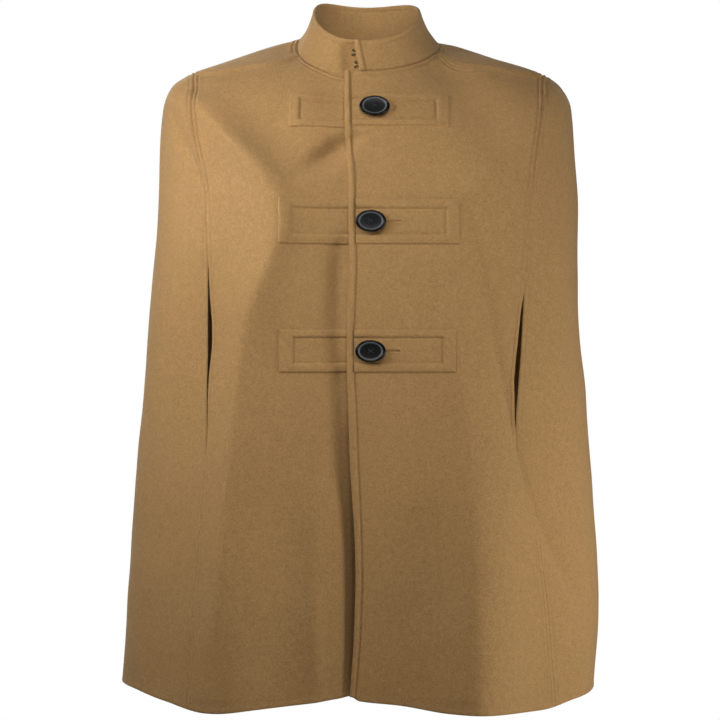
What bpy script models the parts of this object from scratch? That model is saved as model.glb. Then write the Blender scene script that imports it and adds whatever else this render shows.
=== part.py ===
"""Wool cape with a stand collar, arm slits and three buttoned tabs across its closing.

The cape keeps the hollow form that it has when it is worn. Left and right are the wearer's. The front
faces -Y, the wearer's left is +X, and the origin lies at the base of the neck, level with the tops of
the shoulders, where the wearer holds the cape up.

One outer surface serves every panel. It is a stack of closed rings, and a point on it has two
coordinates: theta goes round the wearer from the centre front towards the left side, and down runs
over the cloth from the neckline to the hem. Each panel is a net of such points between its seams,
given a wall towards the inside. Lengths in the tables are millimetres.
"""
import math

import bmesh
import bpy
import numpy as np
from mathutils import Vector
from mathutils.bvhtree import BVHTree

MM = 0.001

# Cloth
WALL = 2.5              # body cloth with its turnings
COLLAR_WALL = 3.4       # two layers of cloth
TAB_WALL = 1.6
SEAM_GAP = 0.3          # between the pieces on both sides of a seam
LAY_GAP = 0.9           # between a tab and the panel under it

# Closing
UNDERLAP_X = 24.0       # hidden free edge of the right front
LAP_CORNER = -18.2      # degrees: where the left front's free edge meets the neckline
COLLAR_END = -5.2       # degrees: lower corner of the collar's lapped end
COLLAR_END_LEAN = -8.6  # degrees: its upper corner lies this much further round
COLLAR_UNDER = 4.0      # degrees: the collar's end underneath
COLLAR_SINK = 8.0       # how far that end sinks in beside the lapped one

# Buttons
BUTTON_WIDE = 33.0
BUTTON_HIGH = 24.0
BUTTON_THICK = 4.6
BUTTON_LIFT = 1.0       # from the tab's face to the button's back
SHANK_RADIUS = 1.6
HOLE_RADIUS = 2.5       # round end of the keyhole buttonhole
HOLE_SLOT = 1.4         # width of its slit
HOLE_REACH = 31.0       # from the round end's centre to the slit's end

# Wire eyes at the collar
WIRE = 0.9
EYE_FOOT = 1.0          # radius of a sewn foot's ring
EYE_HALF = 1.7          # half the distance between the legs
EYE_LEG = 4.6


class Table:
    """Rows of numbers under named columns; the other columns follow the first one smoothly."""

    def __init__(self, columns, *rows):
        self.column = dict(zip(columns.split(), np.array(rows, float).T))
        self.key = next(iter(self.column.values()))

    def at(self, name, key):
        return smooth(self.key, self.column[name], key)


def smooth(keys, values, at):
    """Read values between their rows on a smooth curve that never overshoots them."""
    step = np.diff(keys)
    rise = np.diff(values) / step
    slope = np.zeros(len(values))
    slope[0] = rise[0]
    slope[-1] = rise[-1]
    turns = rise[:-1] * rise[1:] <= 0
    total = np.where(turns, 1.0, rise[:-1] + rise[1:])
    slope[1:-1] = np.where(turns, 0.0, 2 * rise[:-1] * rise[1:] / total)
    at = np.clip(at, keys[0], keys[-1])
    row = np.clip(np.searchsorted(keys, at, side="right") - 1, 0, len(step) - 1)
    t = (at - keys[row]) / step[row]
    start = (1 + 2 * t) * (1 - t) ** 2 * values[row] + t * (1 - t) ** 2 * step[row] * slope[row]
    end = t * t * (3 - 2 * t) * values[row + 1] + t * t * (t - 1) * step[row] * slope[row + 1]
    return start + end


# Rings of the body. Heights are those of the ring's foremost, outermost and rearmost points; tilt
# slopes the ring from back to front at its sides, left, right, front and back are its reach each way,
# and square fills its corners out.
RINGS = Table(
    "down z_front z_side z_back tilt_left tilt_right left right front back square",
    (0, -33, 1, 15, -23, -43, 82.9, 77.3, 81, 60, 0.00),
    (28, -58, -2, 5, -31, -34, 103, 106, 91, 73, 0.00),
    (60, -88, -14, -18, -13, -18, 152, 152, 103, 86, 0.02),
    (90, -117, -28.5, -41, -4, -4, 195, 195, 112, 94, 0.03),
    (112, -138, -44, -62, 0, 0, 217, 218, 117, 99, 0.04),
    (135, -160, -68, -92, 0, 0, 229, 227, 121, 104, 0.05),
    (170, -193, -112, -134, 0, 0, 233, 230, 125, 109, 0.06),
    (220, -241, -180, -195, 0, 0, 237, 232, 128, 113, 0.06),
    (300, -318, -282, -287, 0, 0, 237, 241, 129, 117, 0.06),
    (400, -414, -395, -393, 0, 0, 246, 249.5, 129, 121, 0.06),
    (500, -511, -502, -499, 0, 0, 254, 259, 129, 127, 0.05),
    (610, -617, -614, -613, 0, 0, 260, 266.5, 130, 134, 0.05),
    (708, -711, -711, -714, 0, 0, 255, 272, 131, 142, 0.05),
    (745, -747, -747, -750, 0, 0, 253, 273, 131, 145, 0.05),
)

# Hem: how far down the cloth it is cut, by degrees round from the centre front. It is longest below
# the hanging folds.
HEM = Table(
    "turn down",
    (-180, 714),
    (-160, 719),
    (-142, 725),
    (-130, 716.5),
    (-110, 706.5),
    (-90, 705),
    (-70, 706.5),
    (-50, 716.5),
    (-38, 725),
    (-25, 721),
    (-15, 716),
    (-6, 709.5),
    (-3.5, 708),
    (-1.5, 713),
    (8, 717.5),
    (20, 724),
    (45, 726),
    (60, 718),
    (90, 711),
    (120, 718),
    (135, 726),
    (155, 721),
    (180, 714),
)
BELOW_HEM = RINGS.key[-1]

# Collar, from its seam on the neckline to its top edge.
COLLAR = Table(
    "rise z_front z_side z_back tilt_left tilt_right left right front back",
    (0.0, -33, 1, 15, -23, -43, 82.9, 77.3, 81, 60),
    (0.5, -17, 22, 34, -30, -32, 68.0, 65.5, 78, 54.5),
    (1.0, 1.5, 41, 52, -32, -39, 60.5, 58.5, 73, 50),
)

# Seams and edges, as distances from the centre line at places down the cloth.
ARM_SEAM = Table(
    "down left right",
    (80, 200, 192),
    (130, 188.5, 186),
    (165, 182.5, 178),
    (190, 179, 174),
    (240, 174.5, 172),
    (320, 169, 171),
    (430, 163, 171),
    (510, 182, 175),
    (600, 194, 184),
    (708, 204.5, 194),
)
LAP_EDGE = Table(
    "down x",
    (0, -24.2),
    (66, -23.6),
    (96, -22.4),
    (124, -20.2),
    (181, -19.6),
    (223, -18.8),
    (265, -20.4),
    (293, -21.4),
    (349, -21.2),
    (377, -19.8),
    (444, -17.7),
    (477, -15.8),
    (510, -13.7),
    (544, -12.1),
    (578, -11.5),
    (611, -12.4),
    (645, -13.5),
    (673, -15.3),
    (708, -18.0),
)

# Forward shoulder seam: the angle at which it crosses the rings, by its share of the way out.
SHOULDER_SEAM = Table(
    "share turn",
    (0.0, 72.0),
    (0.25, 65.0),
    (0.42, 63.5),
    (0.6, 67.5),
    (0.8, 71.0),
    (1.0, 78.0),
)

# Arm slits: how far the front panel's edge bows away from the side panel's.
SLIT = Table(
    "down left right",
    (0, 0, 0),
    (225, 0, 0),
    (250, 0, 1.6),
    (275, 2.8, 4.4),
    (320, 7.0, 7.2),
    (380, 7.4, 7.2),
    (420, 4.6, 4.8),
    (448, 0, 1.2),
    (465, 0, 0),
    (708, 0, 0),
)

# How far the right front and the collar's under end lie behind the lapped side and hang lower, and
# over which distances from the centre line they get there.
TUCK = Table(
    "down depth drop outer inner",
    (0, 5.6, 6.5, -75, -27),
    (40, 4.4, 4, -75, -27),
    (100, 3.8, 1, -75, -26),
    (150, 3.8, 0, -75, -25),
    (240, 5.5, 0, -70, -22),
    (310, 3.9, 0, -70, -22),
    (370, 8, 0, -58, -18),
    (450, 13, 0, -46, -15),
    (560, 18, 0, -33, -10),
    (650, 18, 0, -33, -10),
    (708, 12, 0, -34, -12),
)

# Hanging folds of the front (face 1) and the back (face -1): the crest's distance from the centre
# line, the half width of its slope and how far it stands out.
FOLDS = (
    (1, Table(
        "down x spread lift",
        (60, -185, 30, 0),
        (110, -150, 34, 4),
        (165, -100, 36, 7),
        (280, -110, 40, 9),
        (380, -126, 46, 15),
        (500, -142, 54, 26),
        (708, -154, 62, 42),
    )),
    (1, Table(
        "down x spread lift",
        (110, 150, 34, 0),
        (180, 112, 34, 4),
        (280, 126, 36, 7),
        (380, 140, 40, 12),
        (500, 138, 46, 24),
        (708, 124, 54, 42),
    )),
    (-1, Table(
        "down x spread lift",
        (150, -90, 40, 0),
        (300, -98, 44, 8),
        (500, -112, 52, 20),
        (708, -126, 58, 32),
    )),
    (-1, Table(
        "down x spread lift",
        (170, 84, 40, 0),
        (320, 94, 44, 9),
        (500, 108, 50, 19),
        (708, 118, 56, 30),
    )),
    (-1, Table(
        "down x spread lift",
        (260, -6, 30, 0),
        (420, -4, 34, 5),
        (708, 2, 40, 14),
    )),
)

# Tabs: places below the origin of their top and bottom edges, and how far they reach each way.
TABS = {
    "top": dict(above=57, below=96, left=91, right=84),
    "mid": dict(above=175, below=225, left=101, right=94),
    "low": dict(above=316, below=363, left=97, right=94),
}
TAB_START = 8.2         # the left halves start this far from the left front's free edge
TAB_STOP = 1.0          # the right halves stop this far short of the left front's edge
TAB_ROWS = 6
TAB_COLUMNS = 11
BUTTON_X = {"top": 9.0, "mid": 5.0, "low": 4.5}
BUTTON_Z = {"top": -75.5, "mid": -200.0, "low": -339.5}
EYES = {"upper": (-13.0, 0.68), "lower": (-9.5, 0.38)}     # degrees round, rise up the collar


def ring_point(values, theta):
    """Point at the angle theta on the ring whose sizes are given."""
    s = np.sin(theta)
    c = np.cos(theta)
    fore = c > 0
    side = np.where(s > 0, values["left"], values["right"])
    depth = np.where(fore, values["front"], values["back"])
    swell = 1 + values.get("square", 0) * np.sin(2 * theta) ** 2
    tilt = np.where(s > 0, values["tilt_left"], values["tilt_right"])
    end = np.where(fore, values["z_front"] - tilt, values["z_back"] + tilt) - values["z_side"]
    z = values["z_side"] + tilt * c + end * c * c
    return np.stack([side * s * swell, -depth * c * swell, z], axis=-1)


def ring_values(table, key):
    """Every size of the ring at the given place in its table."""
    return {name: table.at(name, key) for name in table.column}


def ease(value):
    """0 to 1 with level ends."""
    t = np.clip(value, 0, 1)
    return t * t * (3 - 2 * t)


def tuck(point, down, where, lowered=1.0):
    """Lay the under side of the closing behind the surface."""
    outer = TUCK.at("outer", down)
    inner = TUCK.at("inner", down)
    share = np.where(where, ease((point[..., 0] - outer) / (inner - outer)), 0)
    point[..., 1] += TUCK.at("depth", down) * share
    point[..., 2] -= TUCK.at("drop", down) * share * lowered


def body(theta, down, under=False):
    """Outer face of the cloth; under is True for the front that is lapped over."""
    theta, down = np.broadcast_arrays(np.asarray(theta, float), np.asarray(down, float))
    point = ring_point(ring_values(RINGS, down), theta)
    facing = np.cos(theta)
    hold = ease((np.abs(facing) - 0.05) / 0.45)
    for face, fold in FOLDS:
        crest = (point[..., 0] - fold.at("x", down)) / fold.at("spread", down)
        lift = fold.at("lift", down) * np.exp(-crest ** 2) * hold
        point[..., 1] -= np.where(face * facing > 0, face * lift, 0)
    if under:
        tuck(point, down, facing > 0)
    return point


def collar(theta, rise):
    """Outer face of the collar; angles past half a turn belong to the end underneath."""
    theta, rise = np.broadcast_arrays(np.asarray(theta, float), np.asarray(rise, float))
    point = ring_point(ring_values(COLLAR, rise), theta)
    beneath = (theta > math.pi) & (np.cos(theta) > 0)
    tuck(point, np.zeros_like(rise), beneath, 1 - 0.9 * ease(rise))
    sink = ease((point[..., 0] + 30) / 13) - 0.5 * ease((point[..., 0] + 13) / 13)
    sink = sink * ease(rise / 0.26) * ease((1.04 - rise) / 0.3)
    point[..., 1] += np.where(beneath, COLLAR_SINK * sink, 0)
    return point


def outward(surface, theta, second, low, high, step):
    """Unit normals of a surface, pointing out."""
    turn = 0.002
    around = surface(theta + turn, second) - surface(theta - turn, second)
    later = np.minimum(second + step, high)
    along = surface(theta, later) - surface(theta, np.maximum(later - 2 * step, low))
    normal = np.cross(along, around)
    return normal / np.linalg.norm(normal, axis=-1, keepdims=True)


def body_normal(theta, down, under=False):
    return outward(lambda t, d: body(t, d, under), theta, down, 0, BELOW_HEM, 1.0)


def collar_normal(theta, rise):
    return -outward(collar, theta, rise, 0, 1, 0.02)


def neck_normal(theta, under=False):
    """Direction shared by the collar and the panels where they meet."""
    wrapped = np.where(under, theta + 2 * math.pi, theta)
    total = body_normal(theta, np.zeros_like(theta), under) + collar_normal(wrapped, np.zeros_like(theta))
    return total / np.linalg.norm(total, axis=-1, keepdims=True)


def turn_at(x, down):
    """Angle at which the ring at down has the given x, on the front."""
    x, down = np.broadcast_arrays(np.asarray(x, float), np.asarray(down, float))
    half = np.where(x > 0, RINGS.at("left", down), RINGS.at("right", down))
    square = RINGS.at("square", down)
    theta = np.arcsin(np.clip(x / half, -1, 1))
    for _ in range(12):
        swell = 1 + square * np.sin(2 * theta) ** 2
        theta = np.arcsin(np.clip(x / (half * swell), -1, 1))
    return theta


def front_place(x, z):
    """Coordinates of the front's point that shows at x and z from the front."""
    x, z = np.broadcast_arrays(np.asarray(x, float), np.asarray(z, float))
    low = np.zeros(x.shape)
    high = np.full(x.shape, BELOW_HEM)
    for _ in range(40):
        middle = (low + high) / 2
        above = body(turn_at(x, middle), middle)[..., 2] > z
        low = np.where(above, middle, low)
        high = np.where(above, high, middle)
    return turn_at(x, low), low


# Nets of the panels -------------------------------------------------------------------------------

NECK_STEPS = 7          # on each half of the front neckline
SHOULDER_STEPS = 6
BACK_NECK_STEPS = 16
COLLAR_ROWS = 9
STRAIGHT_ROWS = 17      # below the arch of the arm seam
ARCH_TURNS = (90, 84, 78, 74, 70, 67, 64)   # degrees: points of the arm seam over the shoulder
TIP = 2                                     # the one where the shoulder seam ends
FAN_APEX = 150.0        # mm from the apex of the fan to the neckline


def arch_down(side, turn):
    """Place down the cloth where the arm seam crosses the given angle, high on the shoulder."""
    low = 20.0
    high = 260.0
    for _ in range(40):
        middle = (low + high) / 2
        reach = RINGS.at(side, middle) * math.sin(turn)
        reach *= 1 + RINGS.at("square", middle) * math.sin(2 * turn) ** 2
        if reach < ARM_SEAM.at(side, middle):
            low = middle
        else:
            high = middle
    return low


def hem_down(theta):
    """Place of the hem at an angle in radians."""
    turn = np.degrees(theta)
    return HEM.at("down", (turn + 180) % 360 - 180)


def arm_seam(side, slit=False):
    """The arm seam in front, from the top of the shoulder to the hem, as (theta, down) rows."""
    arch = [arch_down(side, math.radians(turn)) for turn in ARCH_TURNS]
    sign = 1 if side == "left" else -1
    end = hem_down(turn_at(sign * ARM_SEAM.at(side, BELOW_HEM), BELOW_HEM))
    straight = np.linspace(arch[-1], end, STRAIGHT_ROWS + 1)[1:]
    bow = SLIT.at(side, straight) if slit else 0
    theta = turn_at(sign * (ARM_SEAM.at(side, straight) - bow), straight)
    arch_theta = sign * np.radians(ARCH_TURNS)
    return np.stack([np.append(arch_theta, theta), np.append(arch, straight)], axis=-1)


def behind(row):
    """The matching row of points on the back."""
    mirrored = row.copy()
    mirrored[:, 0] = np.sign(row[:, 0]) * math.pi - row[:, 0]
    return mirrored


def shoulder_seam(side):
    """The forward shoulder seam, from the neckline to its tip on the arm seam."""
    sign = 1 if side == "left" else -1
    t = np.linspace(0, 1, SHOULDER_STEPS + 1)
    tip = arch_down(side, math.radians(ARCH_TURNS[TIP]))
    return np.stack([sign * np.radians(SHOULDER_SEAM.at("turn", t)), tip * t], axis=-1)


def between(first, last, steps):
    """Evenly spaced (theta, down) points from first to last."""
    return first + (last - first) * np.linspace(0, 1, steps + 1)[:, None]


def hem_edge(first, last, steps):
    """Points of the hem from first to last."""
    points = between(first, last, steps)
    points[1:-1, 1] = hem_down(points[1:-1, 0])
    return points


def flatten(points, centre):
    """Places of (theta, down) points on a flat fan, laid out like the cloth of the cut panel."""
    slant = FAN_APEX + points[..., 1]
    turn = (points[..., 0] - centre) * RINGS.at("left", points[..., 1]) / slant
    return np.stack([slant * np.sin(turn), slant * np.cos(turn)], axis=-1)


def wrap(places, centre):
    """The (theta, down) points of places on the fan."""
    slant = np.hypot(places[..., 0], places[..., 1])
    down = slant - FAN_APEX
    turn = np.arctan2(places[..., 0], places[..., 1])
    return np.stack([turn * slant / RINGS.at("left", down) + centre, down], axis=-1)


def fill(top, bottom, first, last, centre):
    """Net of points between four edges that share their corners."""
    top, bottom, first, last = (flatten(edge, centre) for edge in (top, bottom, first, last))
    a = np.linspace(0, 1, len(top))[:, None, None]
    b = np.linspace(0, 1, len(first))[None, :, None]
    across = (1 - a) * first[None] + a * last[None]
    along = (1 - b) * top[:, None] + b * bottom[:, None]
    head = (1 - a) * top[0] + a * top[-1]
    foot = (1 - a) * bottom[0] + a * bottom[-1]
    return wrap(across + along - (1 - b) * head - b * foot, centre)


def front_neck(side):
    """Angles of the front neckline from the free edge to the shoulder seam."""
    if side == "left":
        first = np.radians([LAP_CORNER, COLLAR_END])
        rest = np.radians(np.linspace(COLLAR_END, SHOULDER_SEAM.column["turn"][0], NECK_STEPS))[1:]
        return np.append(first, rest)
    edge = turn_at(UNDERLAP_X, 0)
    first = np.array([edge, math.radians(COLLAR_UNDER)])
    rest = np.radians(np.linspace(COLLAR_UNDER, -SHOULDER_SEAM.column["turn"][0], NECK_STEPS))[1:]
    return np.append(first, rest)


def front_net(side):
    """Left or right front, from its free edge to the arm seam."""
    neck = front_neck(side)
    shoulder = shoulder_seam(side)
    top = np.concatenate([np.stack([neck, np.zeros_like(neck)], axis=-1), shoulder[1:]])
    last = arm_seam(side, slit=True)[TIP:]
    edge_x = LAP_EDGE.at("x", BELOW_HEM) if side == "left" else UNDERLAP_X
    down = np.linspace(0, hem_down(turn_at(edge_x, BELOW_HEM)), len(last))
    edge_x = LAP_EDGE.at("x", down) if side == "left" else np.full(len(down), UNDERLAP_X)
    first = np.stack([turn_at(edge_x, down), down], axis=-1)
    first[0] = top[0]
    bottom = hem_edge(first[-1], last[-1], len(top) - 1)
    return fill(top, bottom, first, last, 0)


def side_net(side):
    """Left or right side panel, from its front seam over the arm to its back seam."""
    seam = arm_seam(side)
    corner = len(ARCH_TURNS) - 1
    over = seam[:corner + 1][::-1]
    top = np.concatenate([over, behind(over[::-1])[1:]])
    first = seam[corner:]
    last = behind(first)
    bottom = hem_edge(first[-1], last[-1], len(top) - 1)
    return fill(top, bottom, first, last, math.pi / 2 if side == "left" else -math.pi / 2)


def back_net():
    """The back, from the right shoulder round to the left."""
    left = shoulder_seam("left")
    right = shoulder_seam("right")
    right[:, 0] += 2 * math.pi
    neck = between(left[0], right[0], BACK_NECK_STEPS)
    top = np.concatenate([left[::-1], neck[1:], right[1:]])
    first = np.concatenate([arm_seam("left")[:TIP + 1][::-1], behind(arm_seam("left"))[1:]])
    last = np.concatenate([arm_seam("right")[:TIP + 1][::-1], behind(arm_seam("right"))[1:]])
    last[:, 0] += 2 * math.pi
    bottom = hem_edge(first[-1], last[-1], len(top) - 1)
    return fill(top, bottom, first, last, math.pi)


# Solids -------------------------------------------------------------------------------------------

EDGES = {"top": (np.s_[:, 0], np.s_[:, 1]), "first": (np.s_[0], np.s_[1]), "last": (np.s_[-1], np.s_[-2])}


def pull_in(points, normals, edge, gap):
    """Shift that takes one edge of a net of points half the gap off its seam."""
    place, beside = EDGES[edge]
    inward = np.cross(np.gradient(points[place], axis=0), normals[place])
    inward /= np.linalg.norm(inward, axis=-1, keepdims=True)
    sign = np.sign((inward * (points[beside] - points[place])).sum())
    return inward * sign * gap / 2


def wall_faces(vertices, rows, columns):
    """Faces of a closed wall between two nets of rows by columns points, outer net first."""
    count = rows * columns
    faces = []
    for i in range(rows - 1):
        for j in range(columns - 1):
            a = i * columns + j
            for face in ((a, a + 1, a + columns + 1), (a, a + columns + 1, a + columns)):
                faces.append(face)
                faces.append(tuple(count + v for v in reversed(face)))
    rim = [i * columns for i in range(rows)]
    rim += [(rows - 1) * columns + j for j in range(1, columns)]
    rim += [i * columns + columns - 1 for i in range(rows - 2, -1, -1)]
    rim += [j for j in range(columns - 2, 0, -1)]
    for a, b in zip(rim, rim[1:] + rim[:1]):
        falling = np.linalg.norm(vertices[a] - vertices[count + b])
        rising = np.linalg.norm(vertices[b] - vertices[count + a])
        if falling < rising:
            faces += [(a, b, count + b), (a, count + b, count + a)]
        else:
            faces += [(a, b, count + a), (b, count + b, count + a)]
    return faces


def add_object(name, vertices, faces, material=None):
    """Object of a closed mesh, its vertices given in millimetres."""
    mesh = bpy.data.meshes.new(name)
    mesh.from_pydata([tuple(v * MM) for v in vertices], [], faces)
    cleaner = bmesh.new()
    cleaner.from_mesh(mesh)
    bmesh.ops.recalc_face_normals(cleaner, faces=cleaner.faces)
    cleaner.to_mesh(mesh)
    cleaner.free()
    if material:
        mesh.materials.append(material)
    made = bpy.data.objects.new(name, mesh)
    bpy.context.collection.objects.link(made)
    return made


def add_cloth(name, points, normals, wall, material, seams=(), gap=SEAM_GAP):
    """Solid wall behind a net of outer points, its seam edges pulled in."""
    outer = points.copy()
    for edge in seams:
        outer[EDGES[edge][0]] += pull_in(points, normals, edge, gap)
    inner = outer - normals * wall
    rows, columns = points.shape[:2]
    vertices = np.concatenate([outer.reshape(-1, 3), inner.reshape(-1, 3)])
    made = add_object(name, vertices, wall_faces(vertices, rows, columns), material)
    made.data.shade_smooth()
    made.data.set_sharp_from_angle(angle=math.radians(40))
    return made


def add_panel(name, net, material, seams, neck=None, under=False):
    """Panel on the body surface; neck is the span of its top edge that lies on the neckline."""
    theta = net[..., 0]
    down = net[..., 1]
    points = body(theta, down, under)
    normals = body_normal(theta, down, under)
    if neck:
        normals[neck, 0] = neck_normal(theta[neck, 0], under)
    return add_cloth(name, points, normals, WALL, material, seams)


def add_collar(material):
    """Stand collar from its lapped end round the neck to the end underneath."""
    left = front_neck("left")[1:]
    right = front_neck("right")[1:] + 2 * math.pi
    back = np.linspace(left[-1], right[-1], BACK_NECK_STEPS + 1)
    halved = np.sort(np.concatenate([right, (right[1:] + right[:-1]) / 2]))
    foot = np.concatenate([left, back[1:], halved[1:]])
    rise = np.linspace(0, 1, COLLAR_ROWS)
    lean = math.radians(COLLAR_END_LEAN) * ease(1 - np.arange(len(foot)) / 3)
    theta = foot[:, None] + lean[:, None] * rise[None]
    rise = np.broadcast_to(rise, theta.shape)
    points = collar(theta, rise)
    normals = collar_normal(theta, rise)
    half = len(foot) // 2
    normals[:half, 0] = neck_normal(foot[:half])
    normals[half:, 0] = neck_normal(foot[half:] - 2 * math.pi, True)
    normals[:, 0] *= WALL / COLLAR_WALL
    return add_cloth("collar", points, normals, COLLAR_WALL, material, ("top",), 3.8 * SEAM_GAP)


def facets(made):
    """Search tree of an object's faces, in metres."""
    return BVHTree.FromPolygons([v.co for v in made.data.vertices], [p.vertices for p in made.data.polygons])


def on_panel(tree, x, z):
    """Point of the panel's outer face that shows at x and z from the front."""
    place, _, _, _ = tree.ray_cast(Vector((x * MM, -1, z * MM)), Vector((0, 1, 0)))
    return np.array(place) / MM


def add_tab_half(name, tree, columns, rows, material):
    """Half of a tab, made from the panel's own face, moved out."""
    points = np.array([[on_panel(tree, x, z) for z in rows] for x in columns])
    around = np.gradient(points, axis=0)
    along = np.gradient(points, axis=1)
    normals = np.cross(along, around)
    normals /= np.linalg.norm(normals, axis=-1, keepdims=True)
    outer = points + normals * (LAY_GAP + TAB_WALL)
    return add_cloth(name, outer, normals, TAB_WALL, material)


def cut(made, cutter):
    """Take the cutter's shape out of an object."""
    step = made.modifiers.new("buttonhole", "BOOLEAN")
    step.operation = "DIFFERENCE"
    step.solver = "EXACT"
    step.object = cutter


def frame_at(tree, x, z):
    """Axes of a button there: across, up and out, and the panel's point under its centre."""
    place = on_panel(tree, x, z)
    left = on_panel(tree, x - 8, z)
    right = on_panel(tree, x + 8, z)
    above = on_panel(tree, x, z + 8)
    below = on_panel(tree, x, z - 8)
    out = np.cross(below - above, right - left)
    out /= np.linalg.norm(out)
    across = right - left
    across -= out * across.dot(out)
    across /= np.linalg.norm(across)
    return place, across, np.cross(out, across), out


def keyhole(name, place, across, up, out):
    """Cutter of a keyhole buttonhole, its round end at the button's centre."""
    half = HOLE_SLOT / 2
    start = math.asin(half / HOLE_RADIUS)
    turns = np.linspace(start, 2 * math.pi - start, 15)
    outline = [(HOLE_RADIUS * math.cos(t), HOLE_RADIUS * math.sin(t)) for t in turns]
    outline += [(HOLE_REACH, -half), (HOLE_REACH, half)]
    depth = 9.0
    vertices = []
    for level in (-depth, depth):
        vertices += [place + across * u + up * v + out * level for u, v in outline]
    count = len(outline)
    faces = [tuple(range(count)), tuple(range(2 * count - 1, count - 1, -1))]
    for i in range(count):
        k = (i + 1) % count
        faces.append((i, k, count + k, count + i))
    made = add_object(name, vertices, faces)
    made.hide_render = True
    made.display_type = "WIRE"
    return made


# Half section of a button: distance from its axis as a share of its radius, height in the thickness.
BUTTON_PROFILE = (
    (0.70, 0.00), (0.90, 0.08), (0.985, 0.30), (1.00, 0.52), (0.975, 0.78), (0.90, 0.96),
    (0.80, 1.00), (0.725, 0.90), (0.66, 0.66), (0.45, 0.55),
)
BUTTON_SIDES = 28


def add_button(name, base, across, up, out, material):
    """Button turned from its half section, wider than high, its back at base."""
    vertices = [base]
    for share, height in BUTTON_PROFILE:
        for k in range(BUTTON_SIDES):
            turn = 2 * math.pi * k / BUTTON_SIDES
            u = share * BUTTON_WIDE / 2 * math.cos(turn)
            v = share * BUTTON_HIGH / 2 * math.sin(turn)
            vertices.append(base + across * u + up * v + out * height * BUTTON_THICK)
    vertices.append(base + out * 0.5 * BUTTON_THICK)
    last = len(vertices) - 1
    faces = []
    for k in range(BUTTON_SIDES):
        n = (k + 1) % BUTTON_SIDES
        faces.append((0, 1 + n, 1 + k))
        for ring in range(len(BUTTON_PROFILE) - 1):
            a = 1 + ring * BUTTON_SIDES
            b = a + BUTTON_SIDES
            faces.append((a + k, a + n, b + n, b + k))
        a = 1 + (len(BUTTON_PROFILE) - 1) * BUTTON_SIDES
        faces.append((a + k, a + n, last))
    made = add_object(name, vertices, faces, material)
    made.data.shade_smooth()
    return made


def add_shank(name, foot, head, across, up, material):
    """Wound thread between the front underneath and the button's back."""
    sides = 12
    vertices = [foot]
    for level, radius in ((0, SHANK_RADIUS * 1.15), (0.25, SHANK_RADIUS), (0.75, SHANK_RADIUS),
                          (1, SHANK_RADIUS * 1.15)):
        for k in range(sides):
            turn = 2 * math.pi * k / sides
            around = across * math.cos(turn) + up * math.sin(turn)
            vertices.append(foot + (head - foot) * level + around * radius)
    vertices.append(head)
    last = len(vertices) - 1
    faces = []
    for k in range(sides):
        n = (k + 1) % sides
        faces.append((0, 1 + n, 1 + k))
        for ring in range(3):
            a = 1 + ring * sides
            faces.append((a + k, a + n, a + sides + n, a + sides + k))
        faces.append((1 + 3 * sides + k, 1 + 3 * sides + n, last))
    made = add_object(name, vertices, faces, material)
    made.data.shade_smooth()
    made.data.set_sharp_from_angle(angle=math.radians(50))
    return made


def add_eye(name, turn, rise, material):
    """Wire eye on the collar's end underneath: ringed feet and a bow reaching under the lapped end."""
    theta = 2 * math.pi + math.radians(turn)
    place = collar(theta, rise)
    wide = np.linalg.norm(collar(theta + 0.02, rise) - place) / 0.02
    tall = np.linalg.norm(collar(theta, rise + 0.02) - place) / 0.02
    foot = [(EYE_FOOT * math.cos(t), EYE_FOOT * (math.sin(t) - 1) - EYE_HALF)
            for t in np.radians(np.linspace(340, 90, 11))]
    bow = [(EYE_LEG + EYE_HALF * math.sin(t), -EYE_HALF * math.cos(t))
           for t in np.radians(np.linspace(0, 180, 9))]
    route = foot + bow + [(u, -v) for u, v in reversed(foot)]
    curve = bpy.data.curves.new(name, "CURVE")
    curve.dimensions = "3D"
    curve.bevel_depth = WIRE / 2 * MM
    curve.bevel_resolution = 1
    curve.use_fill_caps = True
    spline = curve.splines.new("POLY")
    spline.points.add(len(route) - 1)
    for knot, (u, v) in zip(spline.points, route):
        turned = theta + u / wide
        risen = rise + v / tall
        point = collar(turned, risen) + collar_normal(turned, risen) * (WIRE / 2 + 3 * SEAM_GAP)
        knot.co = (*(point * MM), 1)
    curve.materials.append(material)
    made = bpy.data.objects.new(name, curve)
    bpy.context.collection.objects.link(made)
    return made


def add_material(name, colour, roughness, metallic=0.0):
    made = bpy.data.materials.new(name)
    made.use_nodes = True
    shader = made.node_tree.nodes["Principled BSDF"]
    shader.inputs["Base Color"].default_value = (*colour, 1)
    shader.inputs["Roughness"].default_value = roughness
    shader.inputs["Metallic"].default_value = metallic
    return made


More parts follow.
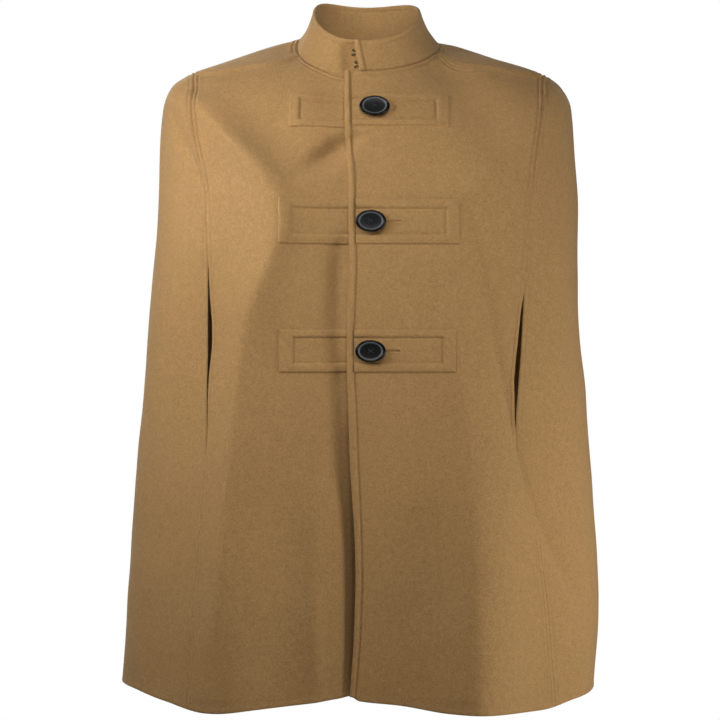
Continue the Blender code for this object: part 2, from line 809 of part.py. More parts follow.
def build():
    for old in list(bpy.data.objects):
        bpy.data.objects.remove(old)
    wool = add_material("wool", (0.36, 0.215, 0.095), 0.95)
    horn = add_material("horn", (0.012, 0.012, 0.013), 0.22)
    thread = add_material("thread", (0.015, 0.015, 0.015), 0.8)
    wire = add_material("wire", (0.02, 0.02, 0.02), 0.4, 1.0)

    neck = slice(0, NECK_STEPS + 1)
    panels = {}
    for side in ("left", "right"):
        under = side == "right"
        panels[side] = add_panel(f"front_{side}", front_net(side), wool, ("top", "last"), neck, under)
        add_panel(f"side_{side}", side_net(side), wool, ("top", "first", "last"))
    back_neck = slice(SHOULDER_STEPS, SHOULDER_STEPS + BACK_NECK_STEPS + 1)
    add_panel("back", back_net(), wool, ("top", "first", "last"), back_neck)
    add_collar(wool)
    for name, (turn, rise) in EYES.items():
        add_eye(f"eye_{name}", turn, rise, wire)

    trees = {side: facets(panel) for side, panel in panels.items()}
    for name, tab in TABS.items():
        rows = -np.linspace(tab["above"], tab["below"], TAB_ROWS)
        place, across, up, out = frame_at(trees["left"], BUTTON_X[name], BUTTON_Z[name])
        edge = LAP_EDGE.at("x", front_place(0, BUTTON_Z[name])[1])
        left = add_tab_half(f"tab_{name}_left", trees["left"],
                            np.linspace(edge + TAB_START, tab["left"], TAB_COLUMNS), rows, wool)
        add_tab_half(f"tab_{name}_right", trees["right"],
                     np.linspace(-tab["right"], edge - TAB_STOP, TAB_COLUMNS), rows, wool)
        cutter = keyhole(f"keyhole_{name}", place, across, up, out)
        cut(left, cutter)
        cut(panels["left"], cutter)
        head = place + out * (LAY_GAP + TAB_WALL + BUTTON_LIFT)
        add_button(f"button_{name}", head, across, up, out, horn)
        foot, _, _, _ = trees["right"].ray_cast(Vector(head * MM), Vector(-out))
        base = np.array(foot) / MM + out * 1.5 * SEAM_GAP
        add_shank(f"shank_{name}", base, head - out * SEAM_GAP, across, up, thread)


build()
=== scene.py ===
"""Looks of the wool cape: shells of cloth with their seams, stitches and folds, buttons, light
and camera.

Left and right are the wearer's, the front faces -Y and +Z is up. Lengths are millimetres, and the
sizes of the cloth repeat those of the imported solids. A place on the cloth is theta, the angle round
from the centre front towards the left, and down, the distance from the neckline.
"""

import math

import bpy
import numpy as np
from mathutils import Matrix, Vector
from mathutils.bvhtree import BVHTree


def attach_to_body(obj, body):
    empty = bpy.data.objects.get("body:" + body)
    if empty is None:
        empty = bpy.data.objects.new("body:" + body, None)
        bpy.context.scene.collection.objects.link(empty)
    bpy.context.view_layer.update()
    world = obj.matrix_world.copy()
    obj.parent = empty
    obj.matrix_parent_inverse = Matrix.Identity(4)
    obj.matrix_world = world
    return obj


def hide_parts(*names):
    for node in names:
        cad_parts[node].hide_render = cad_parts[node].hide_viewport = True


MM = 0.001

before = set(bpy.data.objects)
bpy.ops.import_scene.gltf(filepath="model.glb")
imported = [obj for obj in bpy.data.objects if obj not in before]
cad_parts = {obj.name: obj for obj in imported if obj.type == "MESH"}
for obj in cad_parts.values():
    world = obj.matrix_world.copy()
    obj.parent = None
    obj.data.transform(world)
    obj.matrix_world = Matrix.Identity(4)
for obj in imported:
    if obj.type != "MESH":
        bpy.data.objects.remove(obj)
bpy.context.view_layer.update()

# Closing
UNDERLAP_X = 24.0       # hidden free edge of the right front
LAP_CORNER = -18.2      # degrees: where the left front's free edge meets the neckline
COLLAR_END = -5.2       # degrees: lower corner of the collar's lapped end
COLLAR_END_LEAN = -8.6  # degrees: its upper corner lies this much further round
COLLAR_UNDER = 4.0      # degrees: the collar's end underneath
COLLAR_SINK = 8.0       # how far that end sinks in beside the lapped one

# Buttons
BUTTON_WIDE = 33.0
BUTTON_HIGH = 24.0


class Table:
    """Rows of numbers under named columns; the other columns follow the first one smoothly."""

    def __init__(self, columns, *rows):
        self.column = dict(zip(columns.split(), np.array(rows, float).T))
        self.key = next(iter(self.column.values()))

    def at(self, name, key):
        return smooth(self.key, self.column[name], key)


def smooth(keys, values, at):
    """Read values between their rows on a smooth curve that never overshoots them."""
    step = np.diff(keys)
    rise = np.diff(values) / step
    slope = np.zeros(len(values))
    slope[0] = rise[0]
    slope[-1] = rise[-1]
    turns = rise[:-1] * rise[1:] <= 0
    total = np.where(turns, 1.0, rise[:-1] + rise[1:])
    slope[1:-1] = np.where(turns, 0.0, 2 * rise[:-1] * rise[1:] / total)
    at = np.clip(at, keys[0], keys[-1])
    row = np.clip(np.searchsorted(keys, at, side="right") - 1, 0, len(step) - 1)
    t = (at - keys[row]) / step[row]
    start = (1 + 2 * t) * (1 - t) ** 2 * values[row] + t * (1 - t) ** 2 * step[row] * slope[row]
    end = t * t * (3 - 2 * t) * values[row + 1] + t * t * (t - 1) * step[row] * slope[row + 1]
    return start + end


# Rings of the body. Heights are those of the ring's foremost, outermost and rearmost points. Tilt
# slopes the ring from back to front at its sides. Left, right, front and back are its reach each
# way, and square fills its corners out.
RINGS = Table(
    "down z_front z_side z_back tilt_left tilt_right left right front back square",
    (0, -33, 1, 15, -23, -43, 82.9, 77.3, 81, 60, 0.00),
    (28, -58, -2, 5, -31, -34, 103, 106, 91, 73, 0.00),
    (60, -88, -14, -18, -13, -18, 152, 152, 103, 86, 0.02),
    (90, -117, -28.5, -41, -4, -4, 195, 195, 112, 94, 0.03),
    (112, -138, -44, -62, 0, 0, 217, 218, 117, 99, 0.04),
    (135, -160, -68, -92, 0, 0, 229, 227, 121, 104, 0.05),
    (170, -193, -112, -134, 0, 0, 233, 230, 125, 109, 0.06),
    (220, -241, -180, -195, 0, 0, 237, 232, 128, 113, 0.06),
    (300, -318, -282, -287, 0, 0, 237, 241, 129, 117, 0.06),
    (400, -414, -395, -393, 0, 0, 246, 249.5, 129, 121, 0.06),
    (500, -511, -502, -499, 0, 0, 254, 259, 129, 127, 0.05),
    (610, -617, -614, -613, 0, 0, 260, 266.5, 130, 134, 0.05),
    (708, -711, -711, -714, 0, 0, 255, 272, 131, 142, 0.05),
    (745, -747, -747, -750, 0, 0, 253, 273, 131, 145, 0.05),
)

# Hem: how far down the cloth it is cut, by degrees round from the centre front. It is longest below
# the hanging folds.
HEM = Table(
    "turn down",
    (-180, 714), (-160, 719), (-142, 725), (-130, 716.5), (-110, 706.5), (-90, 705), (-70, 706.5),
    (-50, 716.5), (-38, 725), (-25, 721), (-15, 716), (-6, 709.5), (-3.5, 708), (-1.5, 713),
    (8, 717.5), (20, 724), (45, 726), (60, 718), (90, 711), (120, 718), (135, 726), (155, 721),
    (180, 714),
)
BELOW_HEM = RINGS.key[-1]

# Collar, from its seam on the neckline to its top edge.
COLLAR = Table(
    "rise z_front z_side z_back tilt_left tilt_right left right front back",
    (0.0, -33, 1, 15, -23, -43, 82.9, 77.3, 81, 60),
    (0.5, -17, 22, 34, -30, -32, 68.0, 65.5, 78, 54.5),
    (1.0, 1.5, 41, 52, -32, -39, 60.5, 58.5, 73, 50),
)

# Seams and edges, as distances from the centre line at places down the cloth.
ARM_SEAM = Table(
    "down left right",
    (80, 200, 192), (130, 188.5, 186), (165, 182.5, 178), (190, 179, 174), (240, 174.5, 172),
    (320, 169, 171), (430, 163, 171), (510, 182, 175), (600, 194, 184), (708, 204.5, 194),
)
LAP_EDGE = Table(
    "down x",
    (0, -24.2), (66, -23.6), (96, -22.4), (124, -20.2), (181, -19.6), (223, -18.8), (265, -20.4),
    (293, -21.4), (349, -21.2), (377, -19.8), (444, -17.7), (477, -15.8), (510, -13.7),
    (544, -12.1), (578, -11.5), (611, -12.4), (645, -13.5), (673, -15.3), (708, -18.0),
)

# Forward shoulder seam: the angle at which it crosses the rings, by its share of the way out.
SHOULDER_SEAM = Table(
    "share turn",
    (0.0, 72.0), (0.25, 65.0), (0.42, 63.5), (0.6, 67.5), (0.8, 71.0), (1.0, 78.0),
)

# Arm slits: how far the front panel's edge bows away from the side panel's.
SLIT = Table(
    "down left right",
    (0, 0, 0), (232, 0, 0), (250, 0, 0.5), (272, 0, 1.8), (293, 2.4, 3.8), (310, 3.4, 5.2),
    (325, 4.2, 5.2), (345, 5.2, 3.8), (362, 5.2, 2.2), (382, 3.2, 1.4), (402, 1.6, 1.0),
    (424, 0, 0.7), (452, 0, 0), (708, 0, 0),
)

# How far the right front and the collar's under end lie behind the lapped side and hang lower, and
# over which distances from the centre line they get there.
TUCK = Table(
    "down depth drop outer inner",
    (0, 5.6, 6.5, -75, -27), (40, 4.4, 4, -75, -27), (100, 3.8, 1, -75, -26),
    (150, 3.8, 0, -75, -25), (240, 5.5, 0, -70, -22), (310, 3.9, 0, -70, -22),
    (370, 8, 0, -58, -18), (450, 13, 0, -46, -15), (560, 18, 0, -33, -10), (650, 18, 0, -33, -10),
    (708, 12, 0, -34, -12),
)

# Hanging folds of the front (face 1) and the back (face -1): the crest's distance from the centre
# line, the half width of its slope and how far it stands out.
FOLDS = [(face, Table("down x spread lift", *rows)) for face, *rows in (
    (1,
     (60, -185, 30, 0), (110, -150, 34, 4), (165, -100, 36, 7), (280, -110, 40, 9),
     (380, -126, 46, 15), (500, -142, 54, 26), (708, -154, 62, 42)),
    (1,
     (110, 150, 34, 0), (180, 112, 34, 4), (280, 126, 36, 7), (380, 140, 40, 12),
     (500, 138, 46, 24), (708, 124, 54, 42)),
    (-1,
     (150, -90, 40, 0), (300, -98, 44, 8), (500, -112, 52, 20), (708, -126, 58, 32)),
    (-1,
     (170, 84, 40, 0), (320, 94, 44, 9), (500, 108, 50, 19), (708, 118, 56, 30)),
    (-1,
     (260, -6, 30, 0), (420, -4, 34, 5), (708, 2, 40, 14)),
)]

# Tabs: places below the origin of their top and bottom edges, and how far they reach each way.
TABS = {
    "top": dict(above=57, below=96, left=91, right=84),
    "mid": dict(above=175, below=225, left=101, right=94),
    "low": dict(above=316, below=363, left=97, right=94),
}
TAB_START = 8.2         # the left halves start this far from the left front's free edge
TAB_STOP = 1.0          # the right halves stop this far short of the left front's edge
BUTTON_X = {"top": 9.0, "mid": 5.0, "low": 4.5}
BUTTON_Z = {"top": -75.5, "mid": -200.0, "low": -339.5}


def unit(vectors):
    return vectors / np.linalg.norm(vectors, axis=-1, keepdims=True)


def ring_point(table, key, theta):
    """Point at the angle theta on the ring that stands at key in its table."""
    values = {name: table.at(name, key) for name in table.column}
    s = np.sin(theta)
    c = np.cos(theta)
    fore = c > 0
    side = np.where(s > 0, values["left"], values["right"])
    depth = np.where(fore, values["front"], values["back"])
    swell = 1 + values.get("square", 0) * np.sin(2 * theta) ** 2
    tilt = np.where(s > 0, values["tilt_left"], values["tilt_right"])
    end = np.where(fore, values["z_front"] - tilt, values["z_back"] + tilt) - values["z_side"]
    z = values["z_side"] + tilt * c + end * c * c
    return np.stack([side * s * swell, -depth * c * swell, z], axis=-1)


def ease(value):
    """0 to 1 with level ends."""
    t = np.clip(value, 0, 1)
    return t * t * (3 - 2 * t)


def tuck(point, down, where, lowered=1.0):
    """Lay the under side of the closing behind the surface."""
    outer = TUCK.at("outer", down)
    inner = TUCK.at("inner", down)
    share = np.where(where, ease((point[..., 0] - outer) / (inner - outer)), 0)
    point[..., 1] += TUCK.at("depth", down) * share
    point[..., 2] -= TUCK.at("drop", down) * share * lowered


def body(theta, down, under=False):
    """Outer face of the cloth; under is True for the front that is lapped over."""
    theta, down = np.broadcast_arrays(np.asarray(theta, float), np.asarray(down, float))
    point = ring_point(RINGS, down, theta)
    facing = np.cos(theta)
    hold = ease((np.abs(facing) - 0.05) / 0.45)
    for face, fold in FOLDS:
        crest = (point[..., 0] - fold.at("x", down)) / fold.at("spread", down)
        lift = fold.at("lift", down) * np.exp(-crest ** 2) * hold
        point[..., 1] -= np.where(face * facing > 0, face * lift, 0)
    if under:
        tuck(point, down, facing > 0)
    return point


def collar(theta, rise):
    """Outer face of the collar; angles past half a turn belong to the end underneath."""
    theta, rise = np.broadcast_arrays(np.asarray(theta, float), np.asarray(rise, float))
    point = ring_point(COLLAR, rise, theta)
    beneath = (theta > math.pi) & (np.cos(theta) > 0)
    tuck(point, np.zeros_like(rise), beneath, 1 - 0.9 * ease(rise))
    sink = ease((point[..., 0] + 30) / 13) - 0.5 * ease((point[..., 0] + 13) / 13)
    sink = sink * ease(rise / 0.26) * ease((1.04 - rise) / 0.3)
    point[..., 1] += np.where(beneath, COLLAR_SINK * sink, 0)
    return point


def outward(surface, theta, second, low, high, step):
    """Unit normals of a surface, pointing out."""
    turn = 0.002
    around = surface(theta + turn, second) - surface(theta - turn, second)
    later = np.minimum(second + step, high)
    along = surface(theta, later) - surface(theta, np.maximum(later - 2 * step, low))
    return unit(np.cross(along, around))


def body_normal(theta, down, under=False):
    return outward(lambda t, d: body(t, d, under), theta, down, 0, BELOW_HEM, 1.0)


def collar_normal(theta, rise):
    return -outward(collar, theta, rise, 0, 1, 0.02)


def neck_normal(theta, under=False):
    """Direction shared by the collar and the panels where they meet."""
    wrapped = np.where(under, theta + 2 * math.pi, theta)
    start = np.zeros_like(theta)
    return unit(body_normal(theta, start, under) + collar_normal(wrapped, start))


def turn_at(x, down):
    """Angle at which the ring at down has the given x, on the front."""
    x, down = np.broadcast_arrays(np.asarray(x, float), np.asarray(down, float))
    half = np.where(x > 0, RINGS.at("left", down), RINGS.at("right", down))
    square = RINGS.at("square", down)
    theta = np.arcsin(np.clip(x / half, -1, 1))
    for _ in range(12):
        swell = 1 + square * np.sin(2 * theta) ** 2
        theta = np.arcsin(np.clip(x / (half * swell), -1, 1))
    return theta


def halving(before, low, high):
    """The place between low and high up to which before holds."""
    for _ in range(40):
        middle = (low + high) / 2
        short = before(middle)
        low = np.where(short, middle, low)
        high = np.where(short, high, middle)
    return low


def front_place(x, z):
    """Coordinates of the front's point that shows at x and z from the front."""
    x, z = np.broadcast_arrays(np.asarray(x, float), np.asarray(z, float))
    down = halving(lambda place: body(turn_at(x, place), place)[..., 2] > z,
                   np.zeros(x.shape), np.full(x.shape, BELOW_HEM))
    return turn_at(x, down), down


FAN_APEX = 150.0        # mm from the apex of the fan to the neckline


def arch_down(side, turn):
    """Place down the cloth where the arm seam crosses the given angle, high on the shoulder."""
    def inside(down):
        width = RINGS.at(side, down) * math.sin(turn)
        width *= 1 + RINGS.at("square", down) * math.sin(2 * turn) ** 2
        return width < ARM_SEAM.at(side, down)

    return float(halving(inside, 20.0, 260.0))


def hem_down(theta):
    """Place of the hem at an angle in radians."""
    turn = np.degrees(theta)
    return HEM.at("down", (turn + 180) % 360 - 180)


def behind(row):
    """The matching row of points on the back."""
    mirrored = row.copy()
    mirrored[:, 0] = np.sign(row[:, 0]) * math.pi - row[:, 0]
    return mirrored


def flatten(points, centre):
    """Places of (theta, down) points on a flat fan, laid out like the cloth of the cut panel."""
    slant = FAN_APEX + points[..., 1]
    turn = (points[..., 0] - centre) * RINGS.at("left", points[..., 1]) / slant
    return np.stack([slant * np.sin(turn), slant * np.cos(turn)], axis=-1)


def wrap(places, centre):
    """The (theta, down) points of places on the fan."""
    slant = np.hypot(places[..., 0], places[..., 1])
    down = slant - FAN_APEX
    turn = np.arctan2(places[..., 0], places[..., 1])
    return np.stack([turn * slant / RINGS.at("left", down) + centre, down], axis=-1)


# Lines of (theta, down) points on the cloth

ARM_TIP = 78            # degrees: where the shoulder seam meets the arm seam
ARM_CORNER = 64         # degrees: where the side panel's top edge turns down


def distances(line):
    """How far along a line each of its points is."""
    return np.append(0, np.cumsum(np.linalg.norm(np.diff(line, axis=0), axis=1)))


def line_length(points, centre):
    """Distances along a line of points, measured on the flat fan."""
    return distances(flatten(points, centre))


def resample(points, centre, shares):
    """The line's points at shares of its length."""
    flat = flatten(points, centre)
    along = line_length(points, centre)
    at = np.asarray(shares) * along[-1]
    return wrap(np.stack([np.interp(at, along, flat[:, k]) for k in (0, 1)], axis=-1), centre)


def arm_line(side, first=90, slit=False):
    """The arm seam in front, from a turn over the shoulder down to the hem."""
    turns = np.arange(first, ARM_CORNER - 0.5, -1.0)
    arch = [arch_down(side, math.radians(turn)) for turn in turns]
    sign = 1 if side == "left" else -1
    end = hem_down(turn_at(sign * ARM_SEAM.at(side, BELOW_HEM), BELOW_HEM))
    straight = np.linspace(arch[-1], end, 260)[1:]
    bow = SLIT.at(side, straight) if slit else 0
    theta = turn_at(sign * (ARM_SEAM.at(side, straight) - bow), straight)
    theta = np.append(sign * np.radians(turns), theta)
    return np.stack([theta, np.append(arch, straight)], axis=-1)


def shoulder_line(side):
    """The shoulder seam from the neckline to its tip."""
    sign = 1 if side == "left" else -1
    t = np.linspace(0, 1, 61)
    tip = arch_down(side, math.radians(ARM_TIP))
    return np.stack([sign * np.radians(SHOULDER_SEAM.at("turn", t)), tip * t], axis=-1)


def neck_line(first, last):
    """The neckline between two angles in radians."""
    theta = np.linspace(first, last, 81)
    return np.stack([theta, np.zeros_like(theta)], axis=-1)


def hem_line(first, last):
    """The hem between two angles in radians."""
    theta = np.linspace(first, last, 121)
    return np.stack([theta, hem_down(theta)], axis=-1)


def edges_of(top, first, last, centre, corners):
    """A panel's four edges, the angle in the middle of its fan and the corners in its top edge."""
    return dict(top=top, bottom=hem_line(first[-1, 0], last[-1, 0]), first=first, last=last,
                centre=centre, corners=corners)


def free_edge(side):
    """The free edge of a front, from the neckline to the hem."""
    end_x = LAP_EDGE.at("x", BELOW_HEM) if side == "left" else UNDERLAP_X
    down = np.linspace(0, hem_down(turn_at(end_x, BELOW_HEM)), 260)
    x = LAP_EDGE.at("x", down) if side == "left" else np.full(len(down), UNDERLAP_X)
    line = np.stack([turn_at(x, down), down], axis=-1)
    if side == "left":
        line[0, 0] = math.radians(LAP_CORNER)
    return line


def turned(line):
    """The same line, its angles counted past half a turn."""
    return line + [2 * math.pi, 0]


def front_edges(side):
    seam_turn = math.radians(SHOULDER_SEAM.column["turn"][0])
    first = free_edge(side)
    last = arm_line(side, ARM_TIP, slit=True)
    neck = neck_line(first[0, 0], seam_turn if side == "left" else -seam_turn)
    top = np.concatenate([neck, shoulder_line(side)[1:]])
    return edges_of(top, first, last, 0, [len(neck) - 1])


def side_edges(side):
    seam = arm_line(side)
    corner = 90 - ARM_CORNER
    over = seam[:corner + 1][::-1]
    top = np.concatenate([over, behind(over[::-1])[1:]])
    first = seam[corner:]
    middle = math.pi / 2 if side == "left" else -math.pi / 2
    return edges_of(top, first, behind(first), middle, [corner])


def back_edges():
    left = shoulder_line("left")
    right = turned(shoulder_line("right"))
    neck = neck_line(left[0, 0], right[0, 0])
    top = np.concatenate([left[::-1], neck[1:], right[1:]])
    tip = 90 - ARM_TIP
    arms = []
    for side in ("left", "right"):
        seam = arm_line(side)
        arms.append(np.concatenate([seam[:tip + 1][::-1], behind(seam)[1:]]))
    corners = [len(left) - 1, len(left) + len(neck) - 2]
    return edges_of(top, arms[0], turned(arms[1]), math.pi, corners)


FINE_EDGE = 0.4         # steps of the nets: at an edge, beside it and in the open cloth
FINE = 0.95
OPEN = 3.8
WORKED = 10.5           # width of the worked strip beside an edge


def shares_of(length):
    """Shares of a length in steps that are short at its ends."""
    at = [0.0]
    while at[-1] < length:
        near = min(at[-1], length - at[-1])
        step = FINE_EDGE if near < 1.6 else min(OPEN, FINE + max(0, near - WORKED) * 0.16)
        at.append(at[-1] + step)
    return np.array(at) / at[-1]


def panel_net(edges):
    """Fine net of (theta, down) points between a panel's edges."""
    centre = edges["centre"]
    long_way = max(line_length(edges[k], centre)[-1] for k in ("first", "last"))
    broad_way = max(line_length(edges[k], centre)[-1] for k in ("top", "bottom"))
    a = shares_of(broad_way)
    b = shares_of(long_way)
    along = line_length(edges["top"], centre)
    for corner in edges["corners"]:
        share = along[corner] / along[-1]
        a[np.abs(a - share).argmin()] = share
    top, bottom = (flatten(resample(edges[k], centre, a), centre) for k in ("top", "bottom"))
    first, last = (flatten(resample(edges[k], centre, b), centre) for k in ("first", "last"))
    a = a[:, None, None]
    b = b[None, :, None]
    across = (1 - a) * first[None] + a * last[None]
    down = (1 - b) * top[:, None] + b * bottom[:, None]
    head = (1 - a) * top[0] + a * top[-1]
    foot = (1 - a) * bottom[0] + a * bottom[-1]
    return wrap(across + down - (1 - b) * head - b * foot, centre)


def reach(points, line):
    """Distance of points from a line in space, and how far along it the nearest place is."""
    flat = points.reshape(-1, 3)
    start = distances(line)
    near = np.empty(len(flat), int)
    for part in np.array_split(np.arange(len(flat)), len(flat) // 3000 + 1):
        square = (flat[part] ** 2).sum(1)[:, None] - 2 * flat[part] @ line.T
        near[part] = (square + (line ** 2).sum(1)[None]).argmin(1)
    best = np.full(len(flat), np.inf)
    along = np.zeros(len(flat))
    for shift in (-1, 0):
        k = np.clip(near + shift, 0, len(line) - 2)
        leg = line[k + 1] - line[k]
        t = ((flat - line[k]) * leg).sum(1) / np.maximum((leg * leg).sum(1), 1e-9)
        t = np.clip(t, 0, 1)
        gap = np.linalg.norm(flat - line[k] - leg * t[:, None], axis=1)
        better = gap < best
        best[better] = gap[better]
        along[better] = (start[k] + t * (start[k + 1] - start[k]))[better]
    return best.reshape(points.shape[:-1]), along.reshape(points.shape[:-1])


# Lifts of the cloth along its normal

# Creases and swellings as they show from the front (face 1) and the back (face -1): how sharp the
# crest is (0 is a soft swelling), its distance from the centre line, half width and lift.
CREASES = [(face, sharp, Table("z x width lift", *rows)) for face, sharp, *rows in (
    # Crest of the right front's fold.
    (1, 5,
     (-681, -166, 14, 0), (-619, -159, 13, 4.3), (-565, -152, 13, 5.7), (-512, -146, 12, 6.2),
     (-458, -140, 12, 6.5), (-405, -135, 12, 4.8), (-358, -130, 12, 4.8), (-315, -122, 12, 4.6),
     (-272, -110, 12, 4.2), (-233, -97, 11, 3.6), (-199, -88, 11, 3.4), (-170, -95, 11, 3.6),
     (-141, -117, 11, 3.8), (-114, -144, 11, 3.4), (-84, -173, 10, 2.2), (-62, -193, 9, 0)),
    # Right front: the fold that falls from the shoulder past the chest to the hem.
    (1, 5,
     (-729, -176, 40, -4.1), (-659, -169, 40, 0), (-584, -160, 38, 2.7), (-499, -150, 36, 5.4),
     (-413, -141, 34, 8.1), (-338, -133, 32, 9.5), (-285, -120, 30, 12.2), (-242, -105, 28, 10.4),
     (-205, -96, 28, 10.4), (-172, -101, 28, 12.2), (-146, -116, 30, 13.8), (-125, -133, 30, 13.8),
     (-98, -157, 30, 9.5), (-71, -178, 30, 6.8), (-49, -199, 30, 0)),
    # Hollow beside it.
    (1, 0,
     (-729, -120, 38, -5.2), (-595, -116, 36, 0), (-509, -111, 34, -1.3), (-423, -105, 32, -2.6),
     (-349, -97, 30, -3.9), (-296, -86, 30, -3.9), (-244, -78, 28, -2.6), (-194, -65, 26, 0)),
    # Low ridge beside the opening.
    (1, 4,
     (-713, -53, 24, 8.7), (-649, -55, 24, 11.6), (-584, -55, 24, 10.2), (-520, -54, 22, 7.2),
     (-456, -52, 20, 2.9), (-392, -47, 20, 0)),
    # Crease beside the right arm seam.
    (1, 0,
     (-172, -179, 7, 0), (-141, -188, 7, -1.4), (-114, -198, 7, -2.4), (-88, -209, 7, -2.4),
     (-71, -215, 6, -1.4), (-58, -221, 6, 0)),
    # Fullness between that crease and the seam.
    (1, 0,
     (-146, -176, 10, 0), (-114, -186, 10, 2.2), (-82, -195, 9, 1.8), (-58, -204, 9, 0)),
    # Dimple under the top tab.
    (1, 0,
     (-152, -70, 19, 0), (-139, -55, 19, -6.6), (-125, -39, 18, -12.3), (-113, -25, 17, -9.9),
     (-99, -13, 17, 0)),
    # Hollow beside the lapped edge.
    (1, 0,
     (-419, -22, 11, 0), (-392, -24, 11, -2), (-368, -27, 12, -5), (-328, -30, 12, -6),
     (-296, -31, 12, -6), (-263, -29, 12, -6), (-226, -27, 12, -4.5), (-208, -26, 12, 0)),
    # Flat of the chest.
    (1, 0,
     (-141, -64, 34, 0), (-114, -86, 36, -3.6), (-82, -118, 36, -2.4), (-54, -144, 34, 0)),
    # Left front: the crease that runs out to the side of the hem.
    (1, 2,
     (-649, 250, 12, 0), (-606, 229, 12, -2.5), (-552, 200, 11, -3), (-499, 179, 10, -3.5),
     (-435, 161, 9.5, -4.5), (-383, 151, 9, -5.5), (-328, 140, 8.5, -5.5), (-274, 131, 8, -5.5),
     (-216, 121, 7.5, -5), (-184, 112, 7, -3.5), (-169, 105, 8, 0)),
    # The fold over the hem.
    (1, 4,
     (-729, 121, 44, 6.5), (-649, 120, 42, 9.6), (-584, 119, 40, 11.2), (-520, 116, 38, 11.2),
     (-456, 113, 36, 9.6), (-392, 106, 23, 7.5), (-328, 101, 18, 3.5), (-285, 98, 16, 0)),
    # The fold from the left shoulder.
    (1, 6,
     (-182, 111, 28, 0), (-165, 117, 34, 5), (-135, 136, 38, 6), (-105, 158, 38, 6),
     (-75, 181, 36, 4), (-39, 210, 34, 0)),
    # Hollow of the left shoulder.
    (1, 0,
     (-146, 148, 30, 0), (-103, 136, 32, -6.5), (-71, 119, 30, -6.5), (-39, 98, 28, -6.5),
     (-18, 84, 26, 0)),
    # Back: similar folds, from both shoulders and between them.
    (-1, 6,
     (-747, -132, 40, 2.8), (-600, -122, 38, 8.4), (-420, -104, 34, 9.8), (-280, -96, 30, 8.4),
     (-190, -112, 30, 8.4), (-120, -150, 30, 0)),
    (-1, 6,
     (-747, 124, 40, 4.2), (-610, 112, 38, 9.8), (-430, 100, 34, 8.4), (-300, 90, 30, 9.8),
     (-200, 104, 30, 7), (-130, 138, 30, 0)),
    (-1, 0,
     (-740, 66, 30, -5.6), (-520, 58, 28, -5.6), (-340, 50, 24, -4.2), (-230, 46, 22, 0)),
    (-1, 0,
     (-740, -70, 30, -5.6), (-560, -64, 28, -5.6), (-380, -58, 24, -4.2), (-250, -52, 22, 0)),
    (-1, 3,
     (-742, 196, 20, -2.8), (-600, 176, 18, -4.2), (-440, 150, 15, -5.6), (-300, 132, 12, -4.2),
     (-200, 120, 10, 0)),
    (-1, 0,
     (-172, -8, 30, 0), (-120, -4, 34, -2.8), (-70, 0, 34, 0)),
)]


def crease_lift(point, theta):
    """Lift of the creases at points of the cloth."""
    x = point[..., 0]
    z = point[..., 2]
    facing = np.cos(theta)
    hold = ease((np.abs(facing) - 0.05) / 0.45)
    total = np.zeros_like(x)
    for face, sharp, crease in CREASES:
        aside = x - crease.at("x", z)
        width = crease.at("width", z)
        if sharp:
            shape = np.exp((sharp - np.hypot(aside, sharp)) / width - (aside / (2.4 * width)) ** 2)
        else:
            shape = np.exp(-(aside / width) ** 2)
        total += np.where(face * facing > 0, crease.at("lift", z) * shape * hold, 0)
    return total


# Slow unevenness of the cloth: waves round and down, and how much each lifts.
WAVES = (
    (7.1, 0.0041, 0.30, 0.28),
    (11.3, -0.0073, 1.70, 0.20),
    (5.2, 0.0112, 4.10, 0.16),
    (16.7, 0.0127, 2.60, 0.10),
    (23.0, -0.0185, 5.30, 0.07),
)


def unevenness(theta, down):
    return sum(lift * np.sin(turns * theta + 2 * math.pi * rate * down + phase)
               for turns, rate, phase, lift in WAVES)


def bump_at(distance, place, width):
    """Rounded ridge at a distance, or a groove when taken away."""
    return np.exp(-((distance - place) / width) ** 2)


def pucker(along, distance, place=3.0, width=4.0):
    """Small gathers that the stitches pull beside a seam, uneven in size and spacing."""
    beat = np.sin(along * 0.47 + 1.3 * np.sin(along * 0.061))
    beat = beat * (0.6 + 0.4 * np.sin(along * 0.037 + 1.0))
    beat += 0.5 * np.sin(along * 0.83 + 2.1)
    return beat * bump_at(distance, place, width)


STITCH_LINE = 5.0       # topstitching beside a seam


def seam_lift(distance, along, strength=1.0):
    """The cloth turned in at a seam, full beside it and drawn down by the topstitching."""
    lift = -1.5 * bump_at(distance, 0, 1.1)
    lift += 0.70 * bump_at(distance, 2.7, 1.6)
    lift -= 1.05 * bump_at(distance, STITCH_LINE, 0.8)
    lift += 0.45 * bump_at(distance, STITCH_LINE + 2.8, 2.2)
    return strength * (lift + 0.13 * pucker(along, distance))


def round_edge(distance, radius):
    """Share of the full thickness at a distance from a free edge."""
    t = np.clip(1 - distance / radius, 0, 1)
    return np.sqrt(np.maximum(1 - t * t, 0.01))


# Meshes

def mesh_object(name, vertices, faces, material, uv=None):
    """Smooth object of a mesh whose vertices are given in millimetres."""
    mesh = bpy.data.meshes.new(name)
    mesh.from_pydata((np.asarray(vertices) * MM).tolist(), [],
                     faces.tolist() if isinstance(faces, np.ndarray) else faces)
    if uv is not None:
        layer = mesh.uv_layers.new(name="cloth")
        corner = np.empty(len(mesh.loops), int)
        mesh.loops.foreach_get("vertex_index", corner)
        layer.data.foreach_set("uv", (uv[corner] * MM).astype(np.float32).ravel())
    mesh.materials.append(material)
    mesh.polygons.foreach_set("use_smooth", [True] * len(mesh.polygons))
    mesh.update()
    return placed(bpy.data.objects.new(name, mesh))


def placed(made):
    """The same object, linked to the scene."""
    bpy.context.collection.objects.link(made)
    return made


